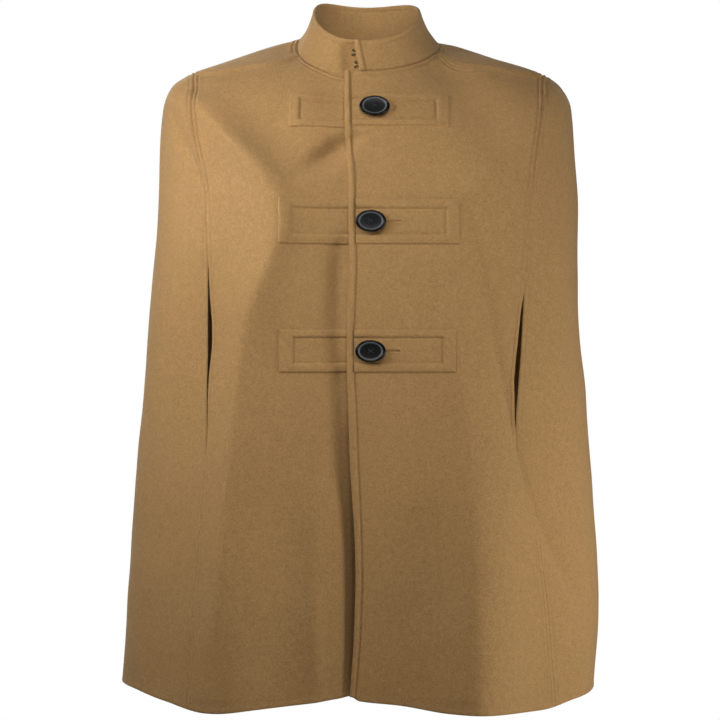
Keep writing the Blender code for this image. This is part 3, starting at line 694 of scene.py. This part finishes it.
def shell(name, net, normal, detail, low, rounded, material, uv):
    """Shell on a net of points, from low to detail along the normals, thinner at its edges."""
    middle = (detail + low) / 2
    half = (detail - low) / 2
    outer = net + normal * (middle + half * rounded)[..., None]
    inner = net + normal * (middle - half * rounded)[..., None]
    return shell_between(name, outer, inner, material, uv, normal)


def shell_between(name, outer, inner, material, uv, normal):
    """Closed shell between two nets of points."""
    rows, columns = outer.shape[:2]
    count = rows * columns
    index = np.arange(count).reshape(rows, columns)
    quads = np.stack([index[:-1, :-1], index[:-1, 1:], index[1:, 1:], index[1:, :-1]], axis=-1)
    quads = quads.reshape(-1, 4)
    middle = (rows // 2, columns // 2)
    facing = np.cross(outer[middle[0], middle[1] + 1] - outer[middle],
                      outer[middle[0] + 1, middle[1]] - outer[middle])
    rim = np.concatenate([index[:-1, 0], index[-1, :-1], index[:0:-1, -1], index[0, :0:-1]])
    after = np.roll(rim, -1)
    walls = np.stack([rim, after, after + count, rim + count], axis=-1)
    if facing.dot(normal[middle]) < 0:
        quads = quads[:, ::-1]
    else:
        walls = walls[:, ::-1]
    faces = np.concatenate([quads, quads[:, ::-1] + count, walls])
    vertices = np.concatenate([outer.reshape(-1, 3), inner.reshape(-1, 3)])
    return mesh_object(name, vertices, faces, material, np.concatenate([uv.reshape(-1, 2)] * 2))


STITCH_PITCH = 3.4
STITCH_LENGTH = 2.5
STITCH_THICK = 0.62
STITCH_SINK = 0.05      # how far its middle lies in the cloth
# Section of a stitch: share of its length, share of its width, height as a share of its thickness.
STITCH_SECTION = ((0.0, 0.35, -0.25), (0.22, 0.95, 0.0), (0.78, 0.95, 0.0), (1.0, 0.35, -0.25))


def stitches(name, tree, lines, material):
    """Joined mesh of stitches laid along lines in space, on the cloth below them."""
    vertices = []
    faces = []
    for line in lines:
        steps = distances(line)
        for start in np.arange(1.0, steps[-1] - STITCH_LENGTH, STITCH_PITCH):
            ends = [np.array([np.interp(start + s, steps, line[:, k]) for k in range(3)])
                    for s in (0, STITCH_LENGTH)]
            found = [tree.find_nearest(Vector(end * MM)) for end in ends]
            first, last = (np.array(hit[0]) / MM for hit in found)
            out = np.array(found[0][1]) + np.array(found[1][1])
            out /= np.linalg.norm(out)
            way = last - first
            aside = np.cross(out, way)
            size = np.linalg.norm(aside)
            if size < 1e-6:
                continue
            aside /= size
            rings = []
            for share, wide, drop in STITCH_SECTION:
                place = first + way * share + out * (drop * STITCH_THICK - STITCH_SINK)
                half = STITCH_THICK / 2 * wide
                rings.append([place + aside * half, place + out * half, place - aside * half,
                              place - out * half])
            add_tube(vertices, faces, rings)
    return mesh_object(name, np.array(vertices), faces, material)


def add_tube(vertices, faces, rings):
    """Add a closed tube over rings of points to lists of vertices and faces."""
    base = len(vertices)
    sides = len(rings[0])
    for ring in rings:
        vertices += ring
    end = base + (len(rings) - 1) * sides
    for start in range(base, end, sides):
        for k in range(sides):
            n = (k + 1) % sides
            faces.append((start + k, start + n, start + sides + n, start + sides + k))
    faces.append(tuple(range(base + sides - 1, base - 1, -1)))
    faces.append(tuple(range(end, end + sides)))


# Panels

CLOTH = 2.6             # thickness of the coat cloth
EDGE_TURN = 1.5         # radius of a free edge
EDGE_CREST = 0.62       # share of the way from a padded edge to its stitching
NECK_BLEND = 9.0        # from the neckline, to where the cloth no longer leans with the other piece
SEARCHED = 60           # points of a net, from an edge, in which a line of stitches is looked for

# Distance from the left front's free edge to its stitching, which holds a rounded, padded edge.
LAP_STITCH = Table(
    "down gap",
    (0, 7.4), (150, 8.0), (300, 8.5), (450, 8.5), (510, 7.2), (580, 6.4), (645, 6.0), (708, 5.4),
)


def slow_lift(theta, down, point):
    """Unevenness and creases of the cloth."""
    return unevenness(theta, down) + crease_lift(point, theta)


def cloth_place(theta, down, under=False):
    """Point of the cloth without its seams, and its normal."""
    point = body(theta, down, under)
    normal = body_normal(theta, down, under)
    return point + normal * slow_lift(theta, down, point)[..., None], normal


def slit_share(side, down):
    """1 where the arm slit is open, 0 where the seam is sewn."""
    return ease(SLIT.at(side, down) / 1.6)


def padded_edge(distance, gap, lift):
    """Rounded ridge between a free edge and its stitching, its crest nearer the stitching."""
    t = np.clip(distance / gap, 0, 1)
    dome = np.where(t < EDGE_CREST, np.sin(t / EDGE_CREST * math.pi / 2),
                    np.cos((t - EDGE_CREST) / (1 - EDGE_CREST) * math.pi / 2))
    return lift * dome - 0.35 * (1 - t) - 1.0 * bump_at(distance, gap + 0.3, 1.2)


def seam_lines(points, distance, gap, along_first=True):
    """Line of places where a net's distances first reach a gap, walking in from an edge."""
    if not along_first:
        points = points.swapaxes(0, 1)
        distance = distance.swapaxes(0, 1)
    line = []
    for j in range(points.shape[1]):
        far = distance[:SEARCHED, j]
        over = np.argmax(far >= gap)
        if over == 0:
            continue
        t = (gap - far[over - 1]) / max(far[over] - far[over - 1], 1e-6)
        line.append(points[over - 1, j] * (1 - t) + points[over, j] * t)
    return np.array(line)


def reaches(net):
    """Distances from a net's top, bottom, first and last edge, and places along them."""
    return [reach(net, line) for line in (net[:, 0], net[:, -1], net[0], net[-1])]


def make_panel(name, edges, material, under=False):
    """Shell of a panel with its seams and edges, and the lines that its stitches follow."""
    side = name.split("_")[-1]
    front = name.startswith("front")
    net = panel_net(edges)
    theta = net[..., 0]
    down = net[..., 1]
    base = body(theta, down, under)
    normal = body_normal(theta, down, under)
    place = base + normal * slow_lift(theta, down, base)[..., None]
    on_neck = np.clip(1 - down / NECK_BLEND, 0, 1)[..., None]
    mixed = unit(normal * (1 - on_neck) + neck_normal(theta, under) * on_neck)
    normal = np.where((down < NECK_BLEND)[..., None], mixed, normal)

    top, bottom, first, last = reaches(base)
    detail = 0.35 * bump_at(bottom[0], 3.0, 2.6)
    rounded = round_edge(bottom[0], EDGE_TURN)

    # Top: seams to the collar and over the shoulder, the second one stitched. The left front's
    # corner beyond the collar is free.
    free = np.zeros_like(down)
    if name == "front_left":
        free = ease((math.radians(COLLAR_END + 1.0) - theta) / math.radians(2.0)) * (down < 40)
    detail += (1 - free) * seam_lift(*top)
    rounded = np.minimum(rounded, np.where(free > 0.5, round_edge(top[0], EDGE_TURN), 1))
    flat = flatten(net[:, 0], edges["centre"])
    corners = [np.abs(flat - flatten(edges["top"][k], edges["centre"])).sum(-1).argmin()
               for k in edges["corners"]]
    if front:
        sewn_parts = [slice(corners[0] + 4, -4)]
    elif name == "back":
        sewn_parts = [slice(4, corners[0] - 4), slice(corners[1] + 5, -4)]
    else:
        sewn_parts = [slice(None)]
    lines = [seam_lines(place[part], top[0][part], STITCH_LINE, False) for part in sewn_parts]

    # Arm seams, open at the slit in front.
    for edge, (distance, along) in (("first", first), ("last", last)):
        if front and edge == "first":
            continue
        opened = 0
        if front or (name.startswith("side") and edge == "first"):
            opened = slit_share(side, down)
        crown = 0.4 + 0.6 * ease((np.abs(np.cos(theta)) - 0.05) / 0.35)
        sewn = seam_lift(distance, along, crown * (1 - 0.65 * ease((down - 110) / 90)))
        loose = -0.6 * bump_at(distance, STITCH_LINE, 0.75) + 0.3 * bump_at(distance, 2.4, 1.6)
        detail += (1 - opened) * sewn + opened * loose
        rounded = np.minimum(rounded, np.where(opened > 0.3, round_edge(distance, EDGE_TURN), 1))
        inward = 1 if edge == "first" else -1
        lines.append(seam_lines(place[::inward], distance[::inward], STITCH_LINE))

    if front:
        rounded = np.minimum(rounded, round_edge(first[0], EDGE_TURN))
    if name == "front_left":
        gap = LAP_STITCH.at("gap", down)
        detail += padded_edge(first[0], gap, 2.8) + 0.10 * pucker(first[1], first[0], 9.5, 5.0)
        lines.append(seam_lines(place, first[0] / gap, 1.0))

    uv = flatten(net, edges["centre"])
    made = shell(f"{name}_cloth", place, normal, detail, -CLOTH, rounded, material, uv)
    return made, [line for line in lines if len(line) > 4]


# Collar

COLLAR_CLOTH = 3.4
COLLAR_HIGH = 62.0
COLLAR_EDGE = 1.9       # radius of its edges
COLLAR_STITCH = 5.6     # below the top edge
COLLAR_LAP = 7.4        # beside the lapped end
COLLAR_LEAN = 38.6      # degrees: the lapped end's lean fades out over these


def collar_turn(foot, rise):
    """Angle on the collar of a place on its foot and a rise: the lapped end leans."""
    first = math.radians(COLLAR_END)
    lean = math.radians(COLLAR_END_LEAN) * ease(1 - (foot - first) / math.radians(COLLAR_LEAN))
    return foot + lean * rise


def make_collar(material):
    """Stand collar with rounded edges, its lapped end padded like the front's edge."""
    ends = (math.radians(COLLAR_END), 2 * math.pi + math.radians(COLLAR_UNDER))
    turns = np.linspace(*ends, 600)
    length = distances(collar(turns, np.full(600, 0.5)))
    a = np.interp(shares_of(length[-1]), length / length[-1], np.linspace(0, 1, 600))
    foot = ends[0] + (ends[1] - ends[0]) * a[:, None]
    rises = shares_of(COLLAR_HIGH)
    rise = np.broadcast_to(rises[None], (len(a), len(rises)))
    theta = collar_turn(foot, rise)
    base = collar(theta, rise)
    beneath = np.broadcast_to(foot > math.pi, rise.shape)
    wrapped = np.where(beneath, theta - 2 * math.pi, theta)
    shared = np.where(beneath[..., None], neck_normal(wrapped, True), neck_normal(wrapped, False))
    seam, top, lapped, last = reaches(base)
    share = np.clip(1 - seam[0] / NECK_BLEND, 0, 1)[..., None]
    normal = unit(collar_normal(theta, rise) * (1 - share) + shared * share)

    detail = 0.35 * np.sin(theta * 9 + 1.0) * np.sin(rise * 3.0)
    detail += 0.2 * np.sin(theta * 23 + rise * 4)
    detail += -1.4 * bump_at(seam[0], 0, 0.95) + 0.5 * bump_at(seam[0], 2.8, 1.8)
    detail += 0.1 * pucker(seam[1], seam[0])
    stitched = -0.65 * bump_at(top[0], COLLAR_STITCH, 0.8) + 0.35 * bump_at(top[0], 2.6, 2.0)
    detail += np.where(lapped[0] > 7.5, stitched, 0) + padded_edge(lapped[0], COLLAR_LAP, 2.9)
    low = 0.5 * bump_at(top[0], COLLAR_STITCH, 0.8) - COLLAR_CLOTH
    rounded = np.minimum.reduce([round_edge(edge[0], COLLAR_EDGE) for edge in (top, lapped, last)])
    uv = np.stack([theta * 75 + 2000, rise * COLLAR_HIGH], axis=-1)
    made = shell("collar_cloth", base, normal, detail, low, rounded, material, uv)
    part = lapped[0][:, -1] > 8.5
    lines = [seam_lines(base[part, ::-1], top[0][part, ::-1], COLLAR_STITCH, False),
             seam_lines(base, lapped[0], COLLAR_LAP)]
    return made, lines


# Tabs

TAB_TUCK = 3.0          # how far the right halves run on below the left front's edge

# Inner stitched rectangles: outer end to the left and right, top and bottom.
TAB_STITCH = {
    "top": (-72.0, 77.0, -64.6, -87.3),
    "mid": (-81.0, 87.0, -185.7, -214.2),
    "low": (-78.5, 83.3, -324.9, -352.8),
}
TAB_LIFT = 2.2          # a tab's face above the panel
TAB_BELOW = 0.15        # its edge below the panel's face
TAB_TURN = 2.4          # width over which its edge turns down
HOLE_END = {"top": 31.5, "mid": 36.5, "low": 35.0}     # x of the buttonholes' outer ends


def tab_places(start, end):
    """Places from start to end in steps that are short at both."""
    length = abs(end - start)
    at = [0.0]
    while at[-1] < length:
        near = min(at[-1], length - at[-1])
        at.append(at[-1] + (FINE_EDGE if near < 1.9 else FINE))
    return start + (end - start) * (np.array(at) / at[-1])


def make_tab(name, side, x1, x2, material):
    """Half of a tab on its front, its stitched rectangle and, on the left, the buttonhole."""
    tab = TABS[name]
    lapping = side == "left"
    zs = tab_places(-tab["above"], -tab["below"])
    x, z = np.meshgrid(tab_places(x1, x2), zs, indexing="ij")
    place, normal = cloth_place(*front_place(x, z), not lapping)
    outer_end = x2 - x if lapping else x - x1
    edge = np.minimum(np.minimum(z - zs[-1], zs[0] - z), outer_end)
    level = (TAB_LIFT + TAB_BELOW) * ease(0.12 + edge / TAB_TURN) - TAB_BELOW
    left, right, high, low = TAB_STITCH[name]
    inside_x = right - x if lapping else x - left
    inside_z = np.minimum(high - z, z - low)
    box = np.minimum(inside_z, inside_x)
    drawn = (1.45 if name == "top" else 1.0) * np.where(inside_x < inside_z, 1.15, 1.0)
    level += 0.5 * bump_at(box, -4.0, 2.6) - 1.25 * ease(0.5 + box / 2.4)
    level -= 0.85 * drawn * bump_at(box, 0.5, 1.2)
    level += 0.25 * ease((box - 3) / 8)
    if not lapping:
        level -= 1.1 * ease(1 - (x2 - x) / (TAB_TUCK + 1.0))
    level += 0.05 * np.sin(x * 0.9 + 0.4 * np.sin(x * 0.13)) * bump_at(box, 0, 3.0)
    if lapping:
        across = z - BUTTON_Z[name]
        beside = np.hypot(x - np.clip(x, BUTTON_X[name], HOLE_END[name]), across)
        level += 0.5 * bump_at(beside, 2.0, 0.8) - 3.0 * bump_at(beside, 0, 0.75)
        if name == "top":
            level -= 2.4 * bump_at(np.hypot(x - 29.4, across * 0.85), 0, 2.2)
    made = shell_between(f"tab_{name}_{side}_cloth", place + normal * level[..., None],
                         place - normal * 0.45, material, np.stack([x, z], axis=-1), normal)
    xa, xb, outer = (x1 + 0.5, right, right) if lapping else (left, x2 - TAB_TUCK, left)
    lines = []
    t = np.linspace(0, 1, 60)
    for xa, za, xb, zb in ((xa, high, xb, high), (outer, high, outer, low), (xa, low, xb, low)):
        theta, down = front_place(xa + (xb - xa) * t, za + (zb - za) * t)
        lines.append(cloth_place(theta, down, not lapping)[0])
    return made, lines


# Buttons

# Half section: distance from the axis as a share of the radius, height in millimetres.
BUTTON_SECTION = (
    (0.00, 0.0), (0.40, 0.0), (0.70, 0.05), (0.84, 0.2), (0.92, 0.55), (0.965, 1.05), (0.99, 1.7),
    (1.00, 2.35), (0.995, 3.0), (0.98, 3.6), (0.955, 4.05), (0.925, 4.35), (0.895, 4.45),
    (0.87, 4.35), (0.85, 4.10), (0.835, 4.02), (0.82, 4.12), (0.80, 4.22), (0.78, 4.16),
    (0.76, 3.90), (0.735, 3.45), (0.70, 3.05), (0.62, 2.75), (0.50, 2.55), (0.36, 2.45),
    (0.20, 2.40), (0.00, 2.38),
)
BUTTON_HOLES = ((2.6, 2.0), (-2.6, 2.0), (-2.6, -2.0), (2.6, -2.0))
HOLE_RADIUS = 0.95
BUTTON_SIDES = 96
BUTTON_BACK = 3.5       # from the panel to the button's back
THREAD_RADIUS = 0.24
THREAD_GUIDE = np.array([0.31, 0.87, 0.38])


def make_button(name, base, across, up, out, material):
    """Round-rimmed button turned from its section and pierced by four holes."""
    share, height = np.array(BUTTON_SECTION).T
    rows = np.arange(len(share))
    fine = np.linspace(0, len(share) - 1, 2 * len(share) - 1)
    share, height = np.interp(fine, rows, share), np.interp(fine, rows, height)
    turns = np.arange(BUTTON_SIDES) * 2 * math.pi / BUTTON_SIDES
    vertices = [base + out * height[0]]
    for r, h in zip(share[1:-1], height[1:-1]):
        u = r * BUTTON_WIDE / 2 * np.cos(turns)
        v = r * BUTTON_HIGH / 2 * np.sin(turns)
        vertices += list(base + across * u[:, None] + up * v[:, None] + out * h)
    vertices.append(base + out * height[-1])
    last = len(vertices) - 1
    faces = []
    for k in range(BUTTON_SIDES):
        n = (k + 1) % BUTTON_SIDES
        faces.append((0, 1 + n, 1 + k))
        for a in range(1, last - BUTTON_SIDES, BUTTON_SIDES):
            faces.append((a + k, a + n, a + BUTTON_SIDES + n, a + BUTTON_SIDES + k))
        a = last - BUTTON_SIDES
        faces.append((a + k, a + n, last))
    shares = np.concatenate([[0], np.repeat(share[1:-1], BUTTON_SIDES), [0]])
    upper = np.concatenate([[0], np.repeat(height[1:-1] > 1.5, BUTTON_SIDES), [1]])
    made = mesh_object(name, vertices, faces, material, np.stack([shares, upper], axis=-1) / MM)
    for u, v in BUTTON_HOLES:
        drill = bpy.data.meshes.new(f"{name}_drill")
        ring = [(math.cos(t), math.sin(t)) for t in np.arange(20) * math.pi / 10]
        centre = base + across * u + up * v
        points = [centre + (across * c + up * s) * HOLE_RADIUS + out * h
                  for h in (-2, 8) for c, s in ring]
        sheets = [tuple(range(19, -1, -1)), tuple(range(20, 40))]
        sheets += [(i, (i + 1) % 20, 20 + (i + 1) % 20, 20 + i) for i in range(20)]
        drill.from_pydata([tuple(p * MM) for p in points], [], sheets)
        tool = placed(bpy.data.objects.new(f"{name}_drill", drill))
        step = made.modifiers.new("hole", "BOOLEAN")
        step.operation = "DIFFERENCE"
        step.solver = "EXACT"
        step.object = tool
        bpy.context.view_layer.update()
        bpy.context.view_layer.objects.active = made
        bpy.ops.object.modifier_apply(modifier=step.name)
        bpy.data.objects.remove(tool)
    made.data.set_sharp_from_angle(angle=math.radians(48))
    return made


def sewn_cross(name, base, across, up, out, material):
    """Bundles of thread crossing between the button's holes."""
    vertices = []
    faces = []
    t = np.linspace(-0.06, 1.06, 13)
    arch = np.sqrt(np.maximum(np.sin(np.clip(t, 0, 1) * math.pi), 0))
    for layer, (start, end) in enumerate(((0, 2), (1, 3))):
        first = np.array(BUTTON_HOLES[start])
        run = BUTTON_HOLES[end] - first
        way = unit(run)
        for strand in (-1, 0, 1):
            lift = 2.5 + (0.62 + 0.3 * layer) * arch
            lift[[0, -1]] -= 1.2
            u, v = (first + run * t[:, None] + np.array([-way[1], way[0]]) * 0.42 * strand).T
            path = base + across * u[:, None] + up * v[:, None] + out * lift[:, None]
            side = unit(np.gradient(path, axis=0))
            first_way = unit(np.cross(side, THREAD_GUIDE))
            second_way = np.cross(side, first_way)
            add_tube(vertices, faces, [
                [place + (a * math.cos(turn) + b * math.sin(turn)) * THREAD_RADIUS
                 for turn in np.arange(6) * math.pi / 3]
                for place, a, b in zip(path, first_way, second_way)])
    return mesh_object(name, np.array(vertices), faces, material)


# Materials

class Material:
    """A new material, its shader and the nodes that feed it."""

    def __init__(self, name):
        self.made = bpy.data.materials.new(name)
        self.made.use_nodes = True
        self.tree = self.made.node_tree
        self.shader = self.tree.nodes["Principled BSDF"]

    def feed(self, node, inputs):
        """Set a node's sockets to constants or to other nodes' outputs."""
        for name, value in inputs.items():
            if isinstance(value, bpy.types.NodeSocket):
                self.tree.links.new(value, node.inputs[name])
            else:
                node.inputs[name].default_value = value

    def node(self, kind, inputs=None):
        made = self.tree.nodes.new(f"ShaderNode{kind}")
        self.feed(made, inputs or {})
        return made

    def place(self):
        return self.node("TexCoord").outputs["Object"]

    def cut(self):
        """Places on the flat cloth, or round a button."""
        made = self.node("UVMap")
        made.uv_map = "cloth"
        return made.outputs["UV"]

    def noise(self, scale, detail, rough, vector):
        return self.node("TexNoise", {"Scale": scale, "Detail": detail, "Roughness": rough,
                                      "Vector": vector}).outputs["Fac"]

    def ramp(self, value, *stops):
        node = self.node("ValToRGB", {"Fac": value})
        while len(node.color_ramp.elements) < len(stops):
            node.color_ramp.elements.new(0.5)
        for element, (at, *colour) in zip(node.color_ramp.elements, stops):
            element.position = at
            element.color = (*(colour if len(colour) == 3 else colour * 3), 1)
        return node.outputs["Color"]

    def between(self, value, low, high):
        node = self.node("MapRange", {"Value": value, "To Min": low, "To Max": high})
        return node.outputs["Result"]

    def times(self, a, b):
        """Product of two colours."""
        node = self.node("Mix")
        node.data_type = "RGBA"
        node.blend_type = "MULTIPLY"
        self.feed(node, {0: 1.0, 6: a, 7: b})
        return node.outputs[2]

    def calculate(self, kind, a, b):
        node = self.node("Math")
        node.operation = kind
        self.feed(node, {0: a, 1: b})
        return node.outputs[0]

    def bump(self, height, strength, distance):
        made = self.node("Bump", {"Strength": strength, "Distance": distance, "Height": height})
        self.feed(self.shader, {"Normal": made.outputs["Normal"]})


def wool_material():
    """Camel melton: fibres of a few browns, faintly twilled under a felted nap."""
    wool = Material("wool coating")
    place = wool.place()
    fibre = wool.noise(1150, 3, 0.62, place)
    clump = wool.noise(520, 3, 0.6, place)
    mottle = wool.noise(170, 3, 0.6, place)
    cloud = wool.noise(9, 3, 0.5, place)
    colour = wool.ramp(fibre, (0.30, 0.373, 0.214, 0.080), (0.50, 0.414, 0.240, 0.092),
                       (0.72, 0.460, 0.273, 0.109))
    for other in (wool.ramp(clump, (0.30, 0.83, 0.825, 0.815), (0.70, 1.13, 1.13, 1.135)),
                  wool.ramp(mottle, (0.30, 0.93, 0.93, 0.925), (0.70, 1.06)),
                  wool.ramp(cloud, (0.3, 0.985, 0.985, 0.98), (0.7, 1.015))):
        colour = wool.times(colour, other)
    wool.feed(wool.shader, {
        "Base Color": colour, "Roughness": wool.between(clump, 0.86, 0.98), "Sheen Weight": 0.28,
        "Sheen Roughness": 0.45, "Sheen Tint": (0.95, 0.80, 0.60, 1), "Specular IOR Level": 0.15})
    twill = wool.node("TexWave", {"Scale": 190, "Distortion": 3.5, "Detail": 2, "Detail Scale": 2.5,
                                  "Vector": wool.cut()})
    twill.wave_type = "BANDS"
    twill.bands_direction = "DIAGONAL"
    height = wool.calculate("MULTIPLY", twill.outputs["Fac"], 0.16)
    for fuzz, share in ((clump, 0.9), (fibre, 0.7)):
        height = wool.calculate("ADD", height, wool.calculate("MULTIPLY", fuzz, share))
    wool.bump(height, 0.75, 0.0005)
    return wool.made


def horn_material():
    """Black horn: a polished rim, a paler ring inside it that is a painted highlight for the light on
    the rim's inner slope, and a duller dished middle.
    """
    horn = Material("button horn")
    stretch = horn.node("Mapping", {"Scale": (1.0, 1.0, 3.6), "Vector": horn.place()})
    streak = horn.noise(420, 4, 0.6, stretch.outputs["Vector"])
    radius = horn.node("SeparateXYZ", {0: horn.cut()}).outputs[0]
    # Colour by radius: a near-black dished middle, a paler grey ring at about three quarters of the
    # radius that is a painted highlight, and a black rim.
    tones_with_painted_ring = horn.ramp(radius, (0.0, 0.005, 0.0055, 0.0055), (0.66, 0.006, 0.0065, 0.0065),
                      (0.745, 0.13, 0.134, 0.138), (0.79, 0.15, 0.155, 0.16), (0.82, 0.006),
                      (1.0, 0.003))
    wear = horn.ramp(streak, (0.35, 0.75, 0.75, 0.76), (0.65, 1.2))
    horn.feed(horn.shader, {
        "Base Color": horn.times(tones_with_painted_ring, wear),
        "Roughness": horn.ramp(radius, (0.0, 0.6), (0.70, 0.5), (0.84, 0.15)),
        "Specular IOR Level": 0.16, "Coat Weight": 0.07, "Coat Roughness": 0.15})
    horn.bump(streak, 0.06, 0.0002)
    return horn.made


def thread_material(name, dark, light):
    """Twisted sewing thread."""
    thread = Material(name)
    ply = thread.noise(2200, 2, 0.5, thread.place())
    thread.feed(thread.shader, {"Base Color": thread.ramp(ply, (0.35, *dark), (0.65, *light)),
                                "Roughness": thread.between(ply, 0.6, 0.85), "Sheen Weight": 0.15})
    thread.bump(ply, 0.4, 0.0002)
    return thread.made


def wire_material():
    """Black-lacquered brass wire."""
    wire = Material("hook and eye wire")
    wear = wire.noise(700, 3, 0.6, wire.place())
    wire.feed(wire.shader, {"Base Color": wire.ramp(wear, (0.4, 0.010), (0.8, 0.040, 0.036, 0.032)),
                            "Roughness": wire.between(wear, 0.3, 0.55), "Metallic": 0.4})
    return wire.made


# Making

def button_frame(name):
    """A button's place on the cloth, and its directions across, up and out."""
    x = BUTTON_X[name]
    z = BUTTON_Z[name]
    place, left, right, above, below = (body(*front_place(x + a, z + b))
                                        for a, b in ((0, 0), (-8, 0), (8, 0), (0, 8), (0, -8)))
    out = unit(np.cross(below - above, right - left))
    across = right - left
    across = unit(across - out * across.dot(out))
    return place, across, np.cross(out, across), out


def area_light(name, place, target, size, power, colour, spread):
    data = bpy.data.lights.new(name, "AREA")
    data.shape = "RECTANGLE"
    data.size, data.size_y = size
    data.energy = power
    data.color = colour
    data.spread = math.radians(spread)
    made = placed(bpy.data.objects.new(name, data))
    made.location = place
    made.rotation_euler = (Vector(target) - Vector(place)).to_track_quat("-Z", "Y").to_euler()
    made.visible_camera = False


# Sheets as they were cut: width and length of the flat cloth, and the area that shows.
SHEETS = {
    "front_left": (0.25, 0.73, 0.148),
    "front_right": (0.26, 0.73, 0.149),
    "side_left": (0.30, 0.72, 0.167),
    "side_right": (0.32, 0.72, 0.178),
    "back": (0.50, 0.76, 0.300),
    "collar": (0.46, 0.062, 0.0168),
}


def attach(made, replaced=None):
    """Tie a piece to the cape's body."""
    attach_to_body(made, "root")
    if replaced:
        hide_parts(replaced)


def sew(name, made, lines, thread):
    """The piece's rows of stitches."""
    mesh = made.data
    tree = BVHTree.FromPolygons([v.co for v in mesh.vertices], [p.vertices for p in mesh.polygons])
    seam = stitches(name, tree, lines, thread)
    attach(seam)
    return seam


def main():
    wool = wool_material()
    thread = thread_material("camel thread", (0.30, 0.18, 0.082), (0.44, 0.28, 0.135))
    black = thread_material("black thread", (0.005, 0.005, 0.005), (0.016, 0.016, 0.017))
    horn = horn_material()
    wire = wire_material()

    panels = {"front_left": front_edges("left"), "front_right": front_edges("right"),
              "side_left": side_edges("left"), "side_right": side_edges("right"),
              "back": back_edges()}
    for name, (width, length, area) in SHEETS.items():
        if name == "collar":
            made, lines = make_collar(wool)
        else:
            made, lines = make_panel(name, panels[name], wool, name == "front_right")
        attach(made, name)
        seam = sew(f"{name}_topstitching", made, lines, thread)

    for name, tab in TABS.items():
        edge = float(LAP_EDGE.at("x", front_place(0, BUTTON_Z[name])[1]))
        for side, x1, x2 in (("left", edge + TAB_START, tab["left"]),
                             ("right", -tab["right"], edge - TAB_STOP + TAB_TUCK)):
            made, lines = make_tab(name, side, x1, x2, wool)
            attach(made, f"tab_{name}_{side}")
            seam = sew(f"tab_{name}_{side}_stitching", made, lines, thread)
        place, across, up, out = button_frame(name)
        base = place + out * BUTTON_BACK
        button = make_button(f"button_{name}_turned", base, across, up, out, horn)
        attach(button, f"button_{name}")
        attach(sewn_cross(f"button_{name}_thread", base, across, up, out, black))
    for name, look in (("shank_top", black), ("shank_mid", black), ("shank_low", black),
                       ("eye_upper", wire), ("eye_lower", wire)):
        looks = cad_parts[name].data.materials
        looks.clear()
        looks.append(look)


WHITE = (1, 1, 1)
WARM = (1.0, 0.985, 0.955)
# Lights: name, place, target, size, watts, colour and degrees of spread.
LIGHTS = (
    ("key", (-0.58, -0.58, 0.08), (-0.10, 0, -0.18), (0.35, 0.35), 3.1, (0.995, 0.995, 1.02), 180),
    ("left side", (-0.92, -0.20, 0.0), (-0.15, 0, -0.15), (0.40, 0.40), 2.7, WARM, 180),
    ("into the collar", (0.08, -0.45, 0.31), (-0.016, 0.02, 0.022), (0.05, 0.05), 0.013, WHITE, 16),
    ("chest", (-0.75, -0.45, -0.05), (-0.135, -0.115, -0.175), (0.10, 0.10), 0.016,
     (0.92, 1.0, 1.35), 19),
    ("front high", (0.0, -0.90, 0.33), (0, 0, -0.18), (0.50, 0.50), 3.7, WHITE, 180),
    ("front", (0.75, -2.3, 0.5), (0, 0, -0.25), (1.0, 1.0), 4.4, WHITE, 180),
    ("right low", (0.74, -0.38, -0.60), (0.14, 0, -0.5), (0.35, 0.35), 2.3, WARM, 180),
    ("right side", (1.4, -0.3, -0.5), (0.1, 0, -0.5), (0.5, 0.6), 3.4, WHITE, 180),
    ("back", (-0.9, 2.6, 0.9), (0, 0, -0.35), (1.6, 1.6), 40, WHITE, 180),
)
CAMERA_AWAY = 3.2       # metres from the camera to the middle of the cape
PHOTO_SCALE = 1.12      # millimetres to a pixel there


def surroundings():
    """Pale floor, soft studio light and the camera."""
    data = bpy.data.meshes.new("floor")
    disc = [(1.6 * math.cos(t), 1.6 * math.sin(t), -1.46) for t in np.arange(96) * math.pi / 48]
    data.from_pydata(disc, [], [tuple(range(96))])
    floor = placed(bpy.data.objects.new("floor", data))
    pale = Material("floor")
    seen = pale.node("LightPath").outputs["Is Camera Ray"]
    pale.feed(pale.shader, {
        "Base Color": pale.ramp(pale.noise(3, 2, 0.5, pale.place()), (0.3, 0.80), (0.7, 0.84)),
        "Roughness": 0.9, "Emission Color": (1, 1, 1, 1),
        "Emission Strength": pale.between(seen, 0.0, 0.62)})
    data.materials.append(pale.made)

    for row in LIGHTS:
        area_light(*row)

    world = bpy.data.worlds.new("studio")
    world.use_nodes = True
    nodes = world.node_tree.nodes
    links = world.node_tree.links
    nodes.clear()
    mix = nodes.new("ShaderNodeMixShader")
    links.new(nodes.new("ShaderNodeLightPath").outputs["Is Camera Ray"], mix.inputs[0])
    for socket, strength in ((1, 0.03), (2, 1.0)):
        sky = nodes.new("ShaderNodeBackground")
        sky.inputs["Color"].default_value = (1, 1, 1, 1)
        sky.inputs["Strength"].default_value = strength
        links.new(sky.outputs[0], mix.inputs[socket])
    links.new(mix.outputs[0], nodes.new("ShaderNodeOutputWorld").inputs["Surface"])

    scene = bpy.context.scene
    scene.world = world
    scene.view_settings.view_transform = "Standard"
    scene.view_settings.look = "None"
    data = bpy.data.cameras.new("camera")
    data.sensor_fit = "HORIZONTAL"
    data.sensor_width = 36
    data.lens = 36 * CAMERA_AWAY / MM / (720 * PHOTO_SCALE)
    camera = placed(bpy.data.objects.new("camera", data))
    camera.location = (-0.0067, -CAMERA_AWAY, -0.349)
    camera.rotation_euler = (math.pi / 2, 0, 0)
    scene.camera = camera


main()
surroundings()
